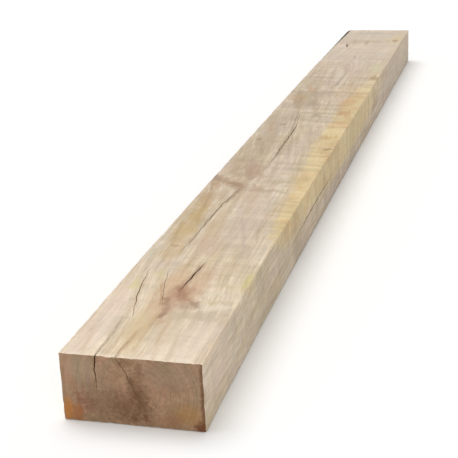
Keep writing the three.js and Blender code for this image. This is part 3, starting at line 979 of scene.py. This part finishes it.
# Streaks along the fibres: from and to, half the width, colour and strength
topStreaks = [
    ((-0.02, 0.08), (0.1, 0.085), 0.0042, (168, 132, 94), 0.49),
    ((0.03, 0.083), (0.17, 0.096), 0.007, (190, 160, 122), 0.4),
    ((-0.02, 0.102), (0.15, 0.092), 0.0054, (188, 160, 122), 0.41),
    ((-0.01, 0.13), (0.17, 0.11), 0.0054, (192, 164, 130), 0.41),
    ((-0.02, 0.153), (0.13, 0.14), 0.0048, (198, 172, 142), 0.37),
    ((-0.02, 0.034), (0.12, 0.016), 0.0035, (204, 176, 150), 0.37),
    ((0.02, 0.07), (0.13, 0.058), 0.0022, (190, 158, 122), 0.37),
    ((0.15, 0.095), (0.27, 0.062), 0.0024, (170, 134, 98), 0.5),
    ((0.198, 0.108), (0.24, 0.097), 0.0034, (144, 108, 84), 0.4),
    ((0.194, 0.118), (0.236, 0.105), 0.0034, (148, 112, 86), 0.35),
    ((0.174, 0.14), (0.21, 0.12), 0.0034, (160, 124, 98), 0.25),
    ((0.222, 0.102), (0.36, 0.111), 0.007, (168, 132, 100), 0.55),
    ((0.214, 0.1), (0.34, 0.109), 0.0024, (104, 76, 54), 0.7),
    ((-0.1, 0.0525), (0.15, 0.0475), 0.0016, (150, 122, 96), 0.5),
    ((0.13, 0.06), (0.3, 0.029), 0.0054, (186, 156, 124), 0.37),
    ((0.36, 0.058), (0.5, 0.058), 0.003, (160, 128, 94), 0.5),
    ((0.48, 0.058), (0.66, 0.063), 0.005, (174, 148, 116), 0.5),
    ((0.62, 0.063), (0.72, 0.072), 0.006, (150, 118, 92), 0.6),
    ((0.69, 0.02), (0.79, 0.002), 0.0032, (150, 120, 92), 0.41),
    ((0.58, 0.036), (0.7, 0.02), 0.0038, (166, 138, 104), 0.37),
    ((0.77, 0.05), (0.85, 0.02), 0.008, (178, 150, 122), 0.3),
    ((0.41, 0.156), (0.48, 0.138), 0.0048, (176, 156, 140), 0.41),
    ((0.46, 0.142), (0.57, 0.112), 0.0048, (184, 164, 146), 0.37),
    ((0.42, 0.17), (0.56, 0.15), 0.0038, (184, 164, 142), 0.33),
    ((0.42, 0.03), (0.55, 0.012), 0.0048, (172, 146, 106), 0.41),
    ((0.5, 0.045), (0.62, 0.028), 0.0048, (176, 146, 98), 0.41),
    ((0.66, 0.14), (0.78, 0.115), 0.0064, (192, 170, 148), 0.33),
    ((0.75, 0.074), (0.92, 0.05), 0.014, (182, 152, 130), 0.3),
    ((0.82, 0.0915), (1.04, 0.0865), 0.003, (132, 110, 88), 0.5),
    ((0.9, 0.092), (1.2, 0.081), 0.006, (162, 142, 118), 0.55),
    ((1.1, 0.086), (1.35, 0.058), 0.003, (128, 106, 86), 0.5),
    ((0.98, 0.108), (1.1, 0.094), 0.0048, (178, 160, 138), 0.33),
    ((0.94, 0.06), (1.06, 0.034), 0.0064, (170, 148, 118), 0.37),
    ((1.0, 0.036), (1.12, 0.014), 0.0064, (174, 150, 118), 0.37),
    ((1.1, 0.072), (1.26, 0.046), 0.0048, (168, 150, 126), 0.33),
    ((1.1, 0.04), (1.24, 0.016), 0.0064, (196, 164, 132), 0.33),
    ((1.18, 0.11), (1.3, 0.1), 0.005, (176, 158, 138), 0.35),
    ((1.24, 0.125), (1.33, 0.108), 0.005, (172, 156, 134), 0.35),
    ((1.3, 0.1), (1.45, 0.08), 0.007, (168, 150, 124), 0.35),
    ((1.36, 0.125), (1.5, 0.105), 0.007, (178, 158, 134), 0.3),
    ((1.32, 0.06), (1.5, 0.034), 0.007, (172, 148, 116), 0.35),
    ((1.4, 0.036), (1.58, 0.012), 0.007, (172, 150, 118), 0.3),
    ((1.44, 0.108), (1.64, 0.1), 0.008, (174, 154, 128), 0.35),
    ((1.44, 0.075), (1.62, 0.055), 0.008, (176, 156, 128), 0.3),
    ((1.56, 0.1), (1.78, 0.106), 0.008, (168, 150, 124), 0.4),
    ((1.74, 0.104), (1.88, 0.09), 0.008, (174, 156, 132), 0.3),
    ((1.64, 0.078), (1.84, 0.066), 0.008, (170, 152, 126), 0.35),
    ((1.84, 0.066), (1.98, 0.076), 0.007, (174, 156, 132), 0.3),
    ((2.1, 0.052), (2.17, 0.038), 0.0064, (150, 132, 110), 0.41),
    ((2.15, 0.062), (2.26, 0.05), 0.0064, (172, 156, 130), 0.41),
    ((2.14, 0.1), (2.22, 0.094), 0.008, (164, 146, 116), 0.5),
]


# The marks are many, so the sleeper has six stretches, each with a material that holds its own marks
stretchEnds = [0.0, 0.24, 0.56, 0.84, 1.14, 1.53, 2.4]
stretches = {f"sawnOak{i}": span for i, span in enumerate(zip(stretchEnds, stretchEnds[1:]))}
streakMargin = 0.02


def patchesOn(stretch):
    start, end = stretches[stretch]
    return [mark for mark in topPatches if start - 2 * mark[2] < mark[0] < end + 2 * mark[2]]


def streaksOn(stretch):
    start, end = stretches[stretch]
    return [
        line for line in topStreaks
        if line[1][0] > start - streakMargin and line[0][0] < end + streakMargin
    ]


# A new material, with its node tree, its shader and the object coordinates that its patterns read
def newSurface(name):
    material = bpy.data.materials.new(name)
    material.use_nodes = True
    tree = material.node_tree
    place = tree.nodes.new("ShaderNodeTexCoord").outputs["Object"]
    return material, tree, tree.nodes["Principled BSDF"], place


# Heights are in millimetres
def finishSurface(tree, shader, colour, roughness, gloss, height, bumpiness):
    feed(tree, shader.inputs["Base Color"], colour)
    feed(tree, shader.inputs["Roughness"], roughness)
    shader.inputs["Specular IOR Level"].default_value = gloss
    bump = tree.nodes.new("ShaderNodeBump")
    bump.inputs["Strength"].default_value = bumpiness
    bump.inputs["Distance"].default_value = 0.001
    feed(tree, bump.inputs["Height"], height)
    feed(tree, shader.inputs["Normal"], bump.outputs[0])


def addBareWood(tree, growth, saw, along, share):
    look = sawnLook
    colour = rampThrough(tree, growth["Streaks"], look["streakStops"])
    colour = layOver(tree, colour, remap(tree, growth["Clouds"], *look["pinkClouds"]), look["pink"])
    colour = layOver(tree, colour, remap(tree, growth["Clouds"], *look["yellowClouds"]), look["yellow"])
    ringShow = remap(tree, share, *look["ringShow"])
    colour = layOver(tree, colour, times(tree, growth["Rings"], ringShow), look["earlyWood"])
    bands = remap(tree, saw["Bands"], *look["bandTone"])
    tone = compute(tree, "POWER", bands, remap(tree, share, *look["bandPower"]))
    for pattern, spread in look["tones"].items():
        tone = times(tree, tone, remap(tree, growth[pattern], *spread))
    colour = shade(tree, colour, tone)
    return layOver(tree, colour, remap(tree, along, *look["farTintShow"]), look["farTint"])


def addSapwood(tree, colour, place, share, saw, breakUp):
    look = sawnLook
    across, _, up = separate(tree, place)
    edge = curveAlong(tree, share, look["sapEdge"], 0.0, rightSide)
    beyond = minus(tree, timesPlus(tree, minus(tree, up, sleeper["height"]), look["sapLean"], across), edge)
    beyond = timesPlus(tree, minus(tree, breakUp, 0.5), look["sapRagged"], beyond)
    sap = times(tree, remap(tree, beyond, *look["sapStart"]), remap(tree, share, *look["sapFade"]))
    deeper = remap(tree, patternAt(tree, place, *look["sapBlotches"]), *look["sapDeepen"])
    sapColour = mixColour(tree, deeper, paint(*look["sapwood"]), paint(*look["sapwoodDeep"]))
    sapColour = shade(tree, sapColour, remap(tree, saw["Bands"], *look["sapBandTone"]))
    return mixColour(tree, times(tree, sap, look["sapShow"]), colour, sapColour)


def addPatches(tree, colour, stretch, place, breakUp, specks):
    look = sawnLook
    bend = noiseShift(tree, stretched(tree, place, look["bendSizes"]), look["bendPitch"])
    bent = vectorCompute(tree, "ADD", place, vectorCompute(tree, "MULTIPLY", bend, look["bendReach"]))
    for fromNear, fromLeft, reachAlong, reachAcross, slant, tint, strength, ragged in patchesOn(stretch):
        mark = placeGroup(
            tree, patch, vector=bent, middle=onTop(fromNear, fromLeft),
            reach=(reachAcross, reachAlong, markShape["deep"]), slant=slant,
            breakUp=specks if reachAlong < look["smallMark"] else breakUp, ragged=ragged, strength=strength,
        )
        colour = layOver(tree, colour, mark["Mask"], tint)
    return colour


def addLimbs(tree, colour, grown):
    look = sawnLook
    for name, facts in limbs.items():
        if not facts["show"]:
            continue
        out = grown[name]
        ringed = times(tree, out["Limb Rings"], limbShape["ringShow"])
        body = mixColour(tree, ringed, paint(*look["knot"]), paint(*look["knotRing"]))
        body = layOver(tree, body, times(tree, out["Core"], limbShape["coreShow"]), look["knotCore"])
        colour = mixColour(tree, times(tree, out["Inside"], facts["show"]), colour, body)
        colour = layOver(tree, colour, times(tree, out["Skin"], facts["skin"]), look["knotSkin"])
    return colour


def addStreaks(tree, colour, stretch, place, specks):
    look = sawnLook
    wobble = times(tree, minus(tree, patternAt(tree, place, look["wobbleSizes"]), 0.5), look["wobble"])
    wobbled = vectorCompute(tree, "ADD", place, combine(tree, wobble, 0.0, 0.0))
    for start, finish, half, tint, strength in streaksOn(stretch):
        mark = placeGroup(
            tree, streak, vector=wobbled, start=onTop(*start), finish=onTop(*finish), halfWidth=half,
            breakUp=specks, strength=strength,
        )
        colour = layOver(tree, colour, mark["Mask"], tint)
    return colour


def sawnOakMaterial(stretch):
    look = sawnLook
    material, tree, shader, place = newSurface(stretch)
    along = separate(tree, place)[1]
    share = shareAlong(tree, along)
    grown = {}
    swell = 0.0
    for name, facts in limbs.items():
        rootRadius, tipRadius = facts["girth"]
        grown[name] = placeGroup(
            tree, limb, vector=place, root=facts["root"], tip=facts["tip"],
            rootRadius=rootRadius, tipRadius=tipRadius, swellSize=facts["swell"],
        )
        swell = plus(tree, grown[name]["Swell"], swell)
    growth = placeGroup(tree, logGrowth, vector=place, swell=swell)
    saw = placeGroup(tree, sawMarks, vector=place)
    breakUp = patternAt(tree, place, *look["breakUp"])
    specks = patternAt(tree, place, *look["specks"])
    colour = addBareWood(tree, growth, saw, along, share)
    colour = addSapwood(tree, colour, place, share, saw, breakUp)
    colour = addPatches(tree, colour, stretch, place, breakUp, specks)
    colour = addLimbs(tree, colour, grown)
    colour = addStreaks(tree, colour, stretch, place, specks)
    colour = layOver(tree, colour, times(tree, growth["Rays"], look["rayShow"]), look["ray"])
    colour = layOver(tree, colour, times(tree, growth["Pores"], look["poreShow"]), look["pore"])
    colour = layOver(tree, colour, times(tree, saw["Bites"], look["biteShow"]), look["bite"])
    # brightness along the length: partly greying, partly painted light that is strongest at the near end
    greyingAndPaintedLight = curveAlong(tree, share, look["greyingAndPaintedLight"])
    blue = times(tree, greyingAndPaintedLight, remap(tree, share, *look["blueShift"]))
    colour = mixColour(tree, 1.0, colour, combine(tree, greyingAndPaintedLight, greyingAndPaintedLight, blue), "MULTIPLY")
    roughness = remap(tree, growth["Fibres"], *look["roughness"])
    height = times(tree, growth["Fibres"], look["fibreHeight"])
    height = timesPlus(tree, growth["Pores"], look["poreHeight"], height)
    height = timesPlus(tree, saw["Ripple"], look["rippleHeight"], height)
    height = timesPlus(tree, saw["Bites"], look["biteHeight"], height)
    height = timesPlus(tree, growth["Rings"], look["ringHeight"], height)
    finishSurface(tree, shader, colour, roughness, look["gloss"], height, look["bumpiness"])
    return material


endLook = {
    "woodStops": [(0.32, (146, 112, 84)), (0.68, (178, 145, 115))], "blotches": (30, 5, 0.65),
    "grit": (170, 4, 0.65), "ringPitch": 0.0046, "waver": 0.016,
    "bands": (95, 2), "bandDrift": 0.12,
    "pinkish": (184, 142, 118), "pinkBands": (0.52, 0.68, 0, 0.5),
    "greenish": (150, 132, 102), "greenBands": (0.48, 0.32, 0, 0.45),
    "ringTone": (0.25, 0.75, 0.97, 1.02), "gritTone": (0.3, 0.7, 0.86, 1.08),
    "ring": (128, 94, 66), "ringPatches": (26, 2), "ringShow": (0.4, 0.68, 0.02, 0.16),
    "clearRings": [(0.04, 0.065), (0.1, 0.075)],  # the rings are clearer between these, right of the heart
    "clearer": 0.2, "heart": (128, 90, 62), "heartShow": (0.03, 0.004, 0, 0.3),
    "ray": (204, 172, 140), "rayShow": 0.22, "pore": (84, 58, 40), "poreShow": 0.6, "porePitch": 1300,
    "poreRange": (0.58, 0.66),
    # arcs left by the cross-cut saw, round a point below and to the right
    "arcMiddle": (0.32, -0.24), "arcPitch": 0.0034, "arcWaver": 0.004, "waverPitch": 18,
    "arcPatchPitch": 14, "arcPatches": (0.4, 0.62), "arc": (112, 84, 60), "arcShow": (0.2, 1, 0, 0.12),
    "roughness": (0.3, 0.7, 0.92, 0.7), "gloss": 0.25, "bumpiness": 0.8,
    "gritHeight": 0.5, "arcHeight": 0.12, "ringHeight": -0.16, "poreHeight": -0.2,  # in millimetres
}
# Stains of the near end, and a column of painted shade down its right edge: middle from the left side and
# up, reach across and up, slant, colour, strength and how ragged
endPatches = [
    (0.012, 0.074, 0.01, 0.03, 0.0, (188, 140, 116), 0.55, 0.4),
    (0.03, 0.08, 0.03, 0.03, 0.0, (170, 150, 124), 0.55, 0.4),
    (0.026, 0.07, 0.005, 0.045, 0.0, (148, 134, 106), 0.5, 0.3),
    (0.04, 0.07, 0.007, 0.04, 0.0, (156, 130, 116), 0.45, 0.3),
    (0.155, 0.08, 0.05, 0.03, 0.0, (162, 138, 116), 0.5, 0.4),
    (0.06, 0.06, 0.02, 0.04, 0.0, (156, 130, 106), 0.4, 0.5),
    (0.034, 0.028, 0.022, 0.022, 0.0, (142, 98, 76), 0.55, 0.5),
    (0.024, 0.037, 0.008, 0.014, 0.0, (130, 88, 62), 0.55, 0.5),
    (0.066, 0.03, 0.05, 0.03, 0.0, (130, 97, 74), 0.55, 0.5),
    (0.007, 0.017, 0.011, 0.026, 0.0, (186, 120, 56), 0.85, 0.3),
    (0.021, 0.012, 0.011, 0.02, 0.0, (168, 104, 56), 0.7, 0.4),
    (0.04, 0.006, 0.02, 0.009, 0.0, (142, 120, 88), 0.6, 0.5),
    (0.178, 0.022, 0.03, 0.022, -0.4, (170, 130, 80), 0.7, 0.35),
    (0.15, 0.012, 0.03, 0.014, 0.0, (156, 112, 84), 0.5, 0.5),
    # painted shade: a dark column down the right edge of the end face, as of a gap beside it
    (0.198, 0.05, 0.006, 0.09, 0.0, (104, 70, 42), 0.75, 0.2),
    (0.193, 0.005, 0.013, 0.014, 0.0, (112, 64, 34), 0.85, 0.35),
    # the first split goes on below its opening as a stain
    (0.0508, 0.062, 0.0016, 0.026, 0.02, (104, 76, 54), 0.55, 0.25),
    # the brown streak from the second split down through the heart, with its dark spots
    (0.102, 0.056, 0.012, 0.03, 0.25, (122, 90, 62), 0.5, 0.5),
    (0.112, 0.037, 0.016, 0.032, 0.25, (116, 84, 58), 0.5, 0.5),
    (0.1, 0.026, 0.04, 0.03, 0.0, (116, 84, 56), 0.65, 0.4),
    (0.099, 0.067, 0.007, 0.008, 0.0, (108, 78, 50), 0.6, 0.45),
    (0.108, 0.047, 0.009, 0.013, -0.5, (112, 80, 52), 0.6, 0.5),
    (0.112, 0.031, 0.007, 0.01, 0.0, (106, 74, 48), 0.55, 0.5),
    (0.117, 0.015, 0.008, 0.011, 0.0, (108, 74, 48), 0.55, 0.5),
    (0.102, 0.012, 0.016, 0.009, 0.0, (106, 74, 44), 0.6, 0.5),
    (0.11, 0.083, 0.009, 0.016, 0.5, (126, 94, 68), 0.5, 0.5),
    (0.092, 0.092, 0.022, 0.008, 0.0, (130, 100, 70), 0.5, 0.5),
    (0.147, 0.088, 0.014, 0.012, 0.0, (140, 120, 92), 0.45, 0.5),
]


def addEndWood(tree, place, growth, grit, across, up):
    look = endLook
    colour = rampThrough(tree, noiseAt(tree, place, *look["blotches"]), look["woodStops"])
    # bands of rings that lean pink or green
    bandPlace = combine(tree, growth["Radius"], 0.0, times(tree, up, look["bandDrift"]))
    bands = noiseAt(tree, bandPlace, *look["bands"])
    colour = layOver(tree, colour, remap(tree, bands, *look["pinkBands"]), look["pinkish"])
    colour = layOver(tree, colour, remap(tree, bands, *look["greenBands"]), look["greenish"])
    tone = remap(tree, growth["Ring Tint"], *look["ringTone"])
    colour = shade(tree, colour, times(tree, tone, remap(tree, grit, *look["gritTone"])))
    ringShow = remap(tree, noiseAt(tree, place, *look["ringPatches"]), *look["ringShow"])
    fadeIn, fadeOut = [remap(tree, across, *span) for span in look["clearRings"]]
    ringShow = timesPlus(tree, times(tree, fadeIn, fadeOut), look["clearer"], ringShow)
    colour = layOver(tree, colour, times(tree, growth["Rings"], ringShow), look["ring"])
    # browner toward the heart
    return layOver(tree, colour, remap(tree, growth["Radius"], *look["heartShow"]), look["heart"])


def endGrainMaterial():
    look = endLook
    material, tree, shader, place = newSurface("sawnOakEnd")
    across, _, up = separate(tree, place)
    growth = placeGroup(tree, logGrowth, vector=place, ringPitch=look["ringPitch"], waver=look["waver"])
    grit = noiseAt(tree, place, *look["grit"])
    colour = addEndWood(tree, place, growth, grit, across, up)
    for fromLeft, high, reachAcross, reachUp, slant, tint, strength, ragged in endPatches:
        mark = placeGroup(
            tree, patch, vector=place, middle=(leftSide + fromLeft + springAt(nearEnd), nearEnd, high),
            reach=(reachAcross, markShape["deep"], reachUp), slant=slant, breakUp=grit, ragged=ragged,
            strength=strength,
        )
        colour = layOver(tree, colour, mark["Mask"], tint)
    colour = layOver(tree, colour, times(tree, growth["Rays"], look["rayShow"]), look["ray"])
    poreNoise = noiseAt(tree, place, look["porePitch"], 1)
    pores = times(tree, remap(tree, poreNoise, *look["poreRange"]), growth["Rings"])
    colour = layOver(tree, colour, times(tree, pores, look["poreShow"]), look["pore"])
    arcAcross, arcUp = look["arcMiddle"]
    fromMiddle = combine(tree, minus(tree, across, arcAcross), 0.0, minus(tree, up, arcUp))
    sweep = vectorCompute(tree, "LENGTH", fromMiddle)
    sweep = timesPlus(tree, noiseAt(tree, place, look["waverPitch"]), look["arcWaver"], sweep)
    arcs = compute(tree, "SINE", times(tree, sweep, 2 * math.pi / look["arcPitch"]))
    arcPatches = remap(tree, noiseAt(tree, place, look["arcPatchPitch"]), *look["arcPatches"])
    arcs = times(tree, arcs, arcPatches)
    colour = layOver(tree, colour, remap(tree, arcs, *look["arcShow"]), look["arc"])
    roughness = remap(tree, grit, *look["roughness"])
    height = times(tree, grit, look["gritHeight"])
    height = timesPlus(tree, arcs, look["arcHeight"], height)
    height = timesPlus(tree, growth["Rings"], look["ringHeight"], height)
    height = timesPlus(tree, pores, look["poreHeight"], height)
    finishSurface(tree, shader, colour, roughness, look["gloss"], height, look["bumpiness"])
    return material


# The cleft walls' browns are partly their own torn, stained wood and partly painted shade: darker with
# depth, lighter near the end faces
tornLook = {
    "open": (98, 70, 49), "deep": (50, 36, 26), "end": (112, 82, 58), "fibre": (178, 140, 104),
    "wallShadeDepths": (0.0, 0.006), "endShow": (0.0005, 0.0035, 1, 0), "fibreShow": (0.45, 0.75, 0, 0.5),
    "waver": 0.004, "roughness": (0.3, 0.7, 0.95, 0.8), "gloss": 0.15, "fibreHeight": 0.9, "bumpiness": 0.9,
}


# Walls of the clefts: torn along the fibres, painted dark brown and darker with depth below the nearest sawn
# face, which is painted shade of the recess with some dust and tannin stain; near the end faces the walls
# are a lighter brown
def tornOakMaterial():
    look = tornLook
    material, tree, shader, place = newSurface("tornOak")
    growth = placeGroup(tree, logGrowth, vector=place, waver=look["waver"])
    across, along, up = separate(tree, place)
    halfHeight = sleeper["height"] / 2
    up = minus(tree, up, halfHeight)
    fromSide, fromEnd, fromBroad = [
        minus(tree, limit, compute(tree, "ABSOLUTE", value))
        for limit, value in ((rightSide, across), (farEnd, along), (halfHeight, up))
    ]
    below = compute(tree, "MINIMUM", compute(tree, "MINIMUM", fromSide, fromBroad), fromEnd)
    # painted shade of the recess, with some stain: the walls darken with depth below the sawn face
    wallShadeAndStain = remap(tree, below, *look["wallShadeDepths"])
    colour = mixColour(tree, wallShadeAndStain, paint(*look["open"]), paint(*look["deep"]))
    colour = layOver(tree, colour, remap(tree, fromEnd, *look["endShow"]), look["end"])
    fibres = remap(tree, growth["Fibres"], *look["fibreShow"])
    colour = mixColour(tree, fibres, colour, paint(*look["fibre"]), "MULTIPLY")
    roughness = remap(tree, growth["Fibres"], *look["roughness"])
    height = times(tree, growth["Fibres"], look["fibreHeight"])
    finishSurface(tree, shader, colour, roughness, look["gloss"], height, look["bumpiness"])
    return material


barkLook = {
    "bark": (50, 40, 33), "pale": (96, 78, 60), "paleShow": (0.42, 0.66),
    "bast": (128, 96, 64), "bastShow": (0.6, 0.7, 0, 0.6),
    "lumps": ((150, 60, 150), 4, 0.65), "flakes": ((420, 130, 420), 3, 0.6),
    "roughness": (0.3, 0.7, 0.95, 0.78), "gloss": 0.2, "lumpHeight": 1.4, "flakeHeight": 0.5,
    "bumpiness": 1,
}


def barkMaterial():
    look = barkLook
    material, tree, shader, place = newSurface("oakBark")
    lumps = patternAt(tree, place, *look["lumps"])
    flakes = patternAt(tree, place, *look["flakes"])
    pale = remap(tree, lumps, *look["paleShow"])
    colour = mixColour(tree, pale, paint(*look["bark"]), paint(*look["pale"]))
    colour = layOver(tree, colour, remap(tree, flakes, *look["bastShow"]), look["bast"])
    roughness = remap(tree, flakes, *look["roughness"])
    height = timesPlus(tree, flakes, look["flakeHeight"], times(tree, lumps, look["lumpHeight"]))
    finishSurface(tree, shader, colour, roughness, look["gloss"], height, look["bumpiness"])
    return material


sawnOak = {stretch: sawnOakMaterial(stretch) for stretch in stretches}
endOak = endGrainMaterial()
tornOak = tornOakMaterial()
bark = barkMaterial()
print("materials made")


beam = sawBeam()
beam.data.materials.append(sawnOak["sawnOak0"])
roughen(beam)
print("arrises worn")
wedges = cutClefts()
for wedge in wedges:
    wedge.data.materials.append(tornOak)
bar = waneBar()
bar.data.materials.append(bark)
cutAway(beam, wedges + [bar])
print("clefts and wane cut:", len(beam.data.polygons), "faces")

dressing = {"endBand": 0.004, "squareness": 0.6}  # how near an end and how square to it an end face is
bakeMap = {"angle": 60, "wallShare": 0.4, "margin": 0.0015}


# Sawn faces that pass a test get another material
def dress(beam, material, test):
    slots = beam.data.materials
    if slots.find(material.name) < 0:
        slots.append(material)
    sawnSlot = slots.find("sawnOak0")
    bpy.ops.object.mode_set(mode="EDIT")
    pick(beam, "FACE", lambda face: (
        face.material_index == sawnSlot and test(face.calc_center_median(), face.normal)))
    beam.active_material_index = slots.find(material.name)
    bpy.ops.object.material_slot_assign()
    bpy.ops.object.mode_set(mode="OBJECT")


# What a push carried past the sawn box is pressed flat onto it
def pressIntoBox(beam):
    bpy.ops.object.mode_set(mode="EDIT")
    low, high = Vector(cadBox[0]), Vector(cadBox[1])
    for axis in range(3):
        for limit, sign in ((low, -1), (high, 1)):
            pick(beam, "VERT", lambda vertex: (vertex.co[axis] - limit[axis]) * sign > 0)
            flat = [1, 1, 1]
            flat[axis] = 0
            if any(vertex.select for vertex in bmesh.from_edit_mesh(beam.data).verts):
                bpy.ops.transform.resize(value=flat, center_override=limit)
    bpy.ops.object.mode_set(mode="OBJECT")


# A bake map in two halves, so that the long faces lie side by side at twice the size. The walls of the
# clefts are hardly seen and get less room.
def layOutBakeMap(beam):
    while beam.data.uv_layers:
        beam.data.uv_layers.remove(beam.data.uv_layers[0])
    beam.data.uv_layers.new(name="OFBake")
    wall = beam.data.materials.find("tornOak")
    bpy.ops.object.mode_set(mode="EDIT")
    for test in (
        lambda face: face.material_index != wall and face.calc_center_median().y < 0,
        lambda face: face.material_index != wall and face.calc_center_median().y >= 0,
        lambda face: face.material_index == wall,
    ):
        pick(beam, "FACE", test)
        bpy.ops.uv.smart_project(angle_limit=math.radians(bakeMap["angle"]), island_margin=0)
    bpy.ops.mesh.select_all(action="SELECT")
    bpy.ops.uv.select_all(action="SELECT")
    bpy.ops.uv.average_islands_scale()
    mesh = bmesh.from_edit_mesh(beam.data)
    layer = mesh.loops.layers.uv["OFBake"]
    for face in mesh.faces:
        if face.material_index == wall:
            for loop in face.loops:
                loop[layer].uv *= bakeMap["wallShare"]
    bmesh.update_edit_mesh(beam.data)
    bpy.ops.uv.pack_islands(rotate=True, margin=bakeMap["margin"], shape_method="AABB")
    bpy.ops.object.mode_set(mode="OBJECT")
    print("bake map laid out")


dress(beam, endOak, lambda middle, normal: (
    abs(middle.y) > farEnd - dressing["endBand"] and abs(normal.y) > dressing["squareness"]))
for stretch, (start, end) in list(stretches.items())[1:]:
    dress(beam, sawnOak[stretch], lambda middle, normal: start < middle.y - nearEnd < end)
pressIntoBox(beam)
layOutBakeMap(beam)
workOn(beam)
bpy.ops.object.shade_smooth_by_angle(angle=math.radians(sleeper["smoothAngle"]))
print("sleeper finished:", sum(len(face.vertices) - 2 for face in beam.data.polygons), "triangles")

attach(beam, "root")
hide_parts("sleeper_beam")

studio = {
    "floor": (243, 243, 242), "floorSize": 120, "floorRoughness": 0.9, "floorGloss": 0.1,
    "camera": (0.491, -2.431, 0.747), "aim": (-0.032, -0.569, 0.05), "roll": -2.68, "lens": 88.2,
    "sensor": 36, "sight": 100,
    "sky": (1.0, 1.0, 1.0), "skyStrength": 0.5, "backdrop": 0.98,
}
# Broad suns, even over the whole floor: where each comes from, how wide and how strong
lamps = {
    "overhead": {"from": (-1.2, 0.8, 5.0), "spread": 46, "power": 1.88, "colour": (1.0, 1.0, 1.0)},
    "front": {"from": (1.6, -2.8, 1.9), "spread": 36, "power": 0.45, "colour": (1.0, 0.98, 0.95)},
}


def setFloor():
    startPiece()
    bpy.ops.mesh.primitive_plane_add(size=studio["floorSize"], location=(0, 0, 0))
    floor = nameActive("floor")
    material = bpy.data.materials.new("paleFloor")
    material.use_nodes = True
    shader = material.node_tree.nodes["Principled BSDF"]
    shader.inputs["Base Color"].default_value = paint(*studio["floor"])
    shader.inputs["Roughness"].default_value = studio["floorRoughness"]
    shader.inputs["Specular IOR Level"].default_value = studio["floorGloss"]
    floor.data.materials.append(material)


def setLamps():
    for name, facts in lamps.items():
        bpy.ops.object.light_add(type="SUN", location=facts["from"])
        lamp = bpy.context.object
        lamp.name = name
        lamp.data.angle = math.radians(facts["spread"])
        lamp.data.energy = facts["power"]
        lamp.data.color = facts["colour"]
        lamp.rotation_euler = (-Vector(facts["from"])).to_track_quat("-Z", "Y").to_euler()


# The sky lights the piece less than it shows behind it
def setSky():
    world = bpy.data.worlds.new("studioSky")
    bpy.context.scene.world = world
    world.use_nodes = True
    tree = world.node_tree
    sky = tree.nodes["Background"]
    sky.inputs["Color"].default_value = (*studio["sky"], 1)
    seen = tree.nodes.new("ShaderNodeLightPath").outputs["Is Camera Ray"]
    feed(tree, sky.inputs["Strength"], remap(tree, seen, 0, 1, studio["skyStrength"], studio["backdrop"]))


def setCamera():
    bpy.ops.object.camera_add(location=studio["camera"])
    camera = bpy.context.object
    camera.name = "camera"
    camera.data.lens = studio["lens"]
    camera.data.sensor_width = studio["sensor"]
    camera.data.clip_end = studio["sight"]
    toward = Vector(studio["aim"]) - Vector(studio["camera"])
    roll = Quaternion((0, 0, 1), math.radians(studio["roll"]))
    camera.rotation_euler = (toward.to_track_quat("-Z", "Y") @ roll).to_euler()
    bpy.context.scene.camera = camera


setFloor()
setLamps()
setSky()
setCamera()
bpy.context.scene.view_settings.view_transform = "Standard"
print("studio set")
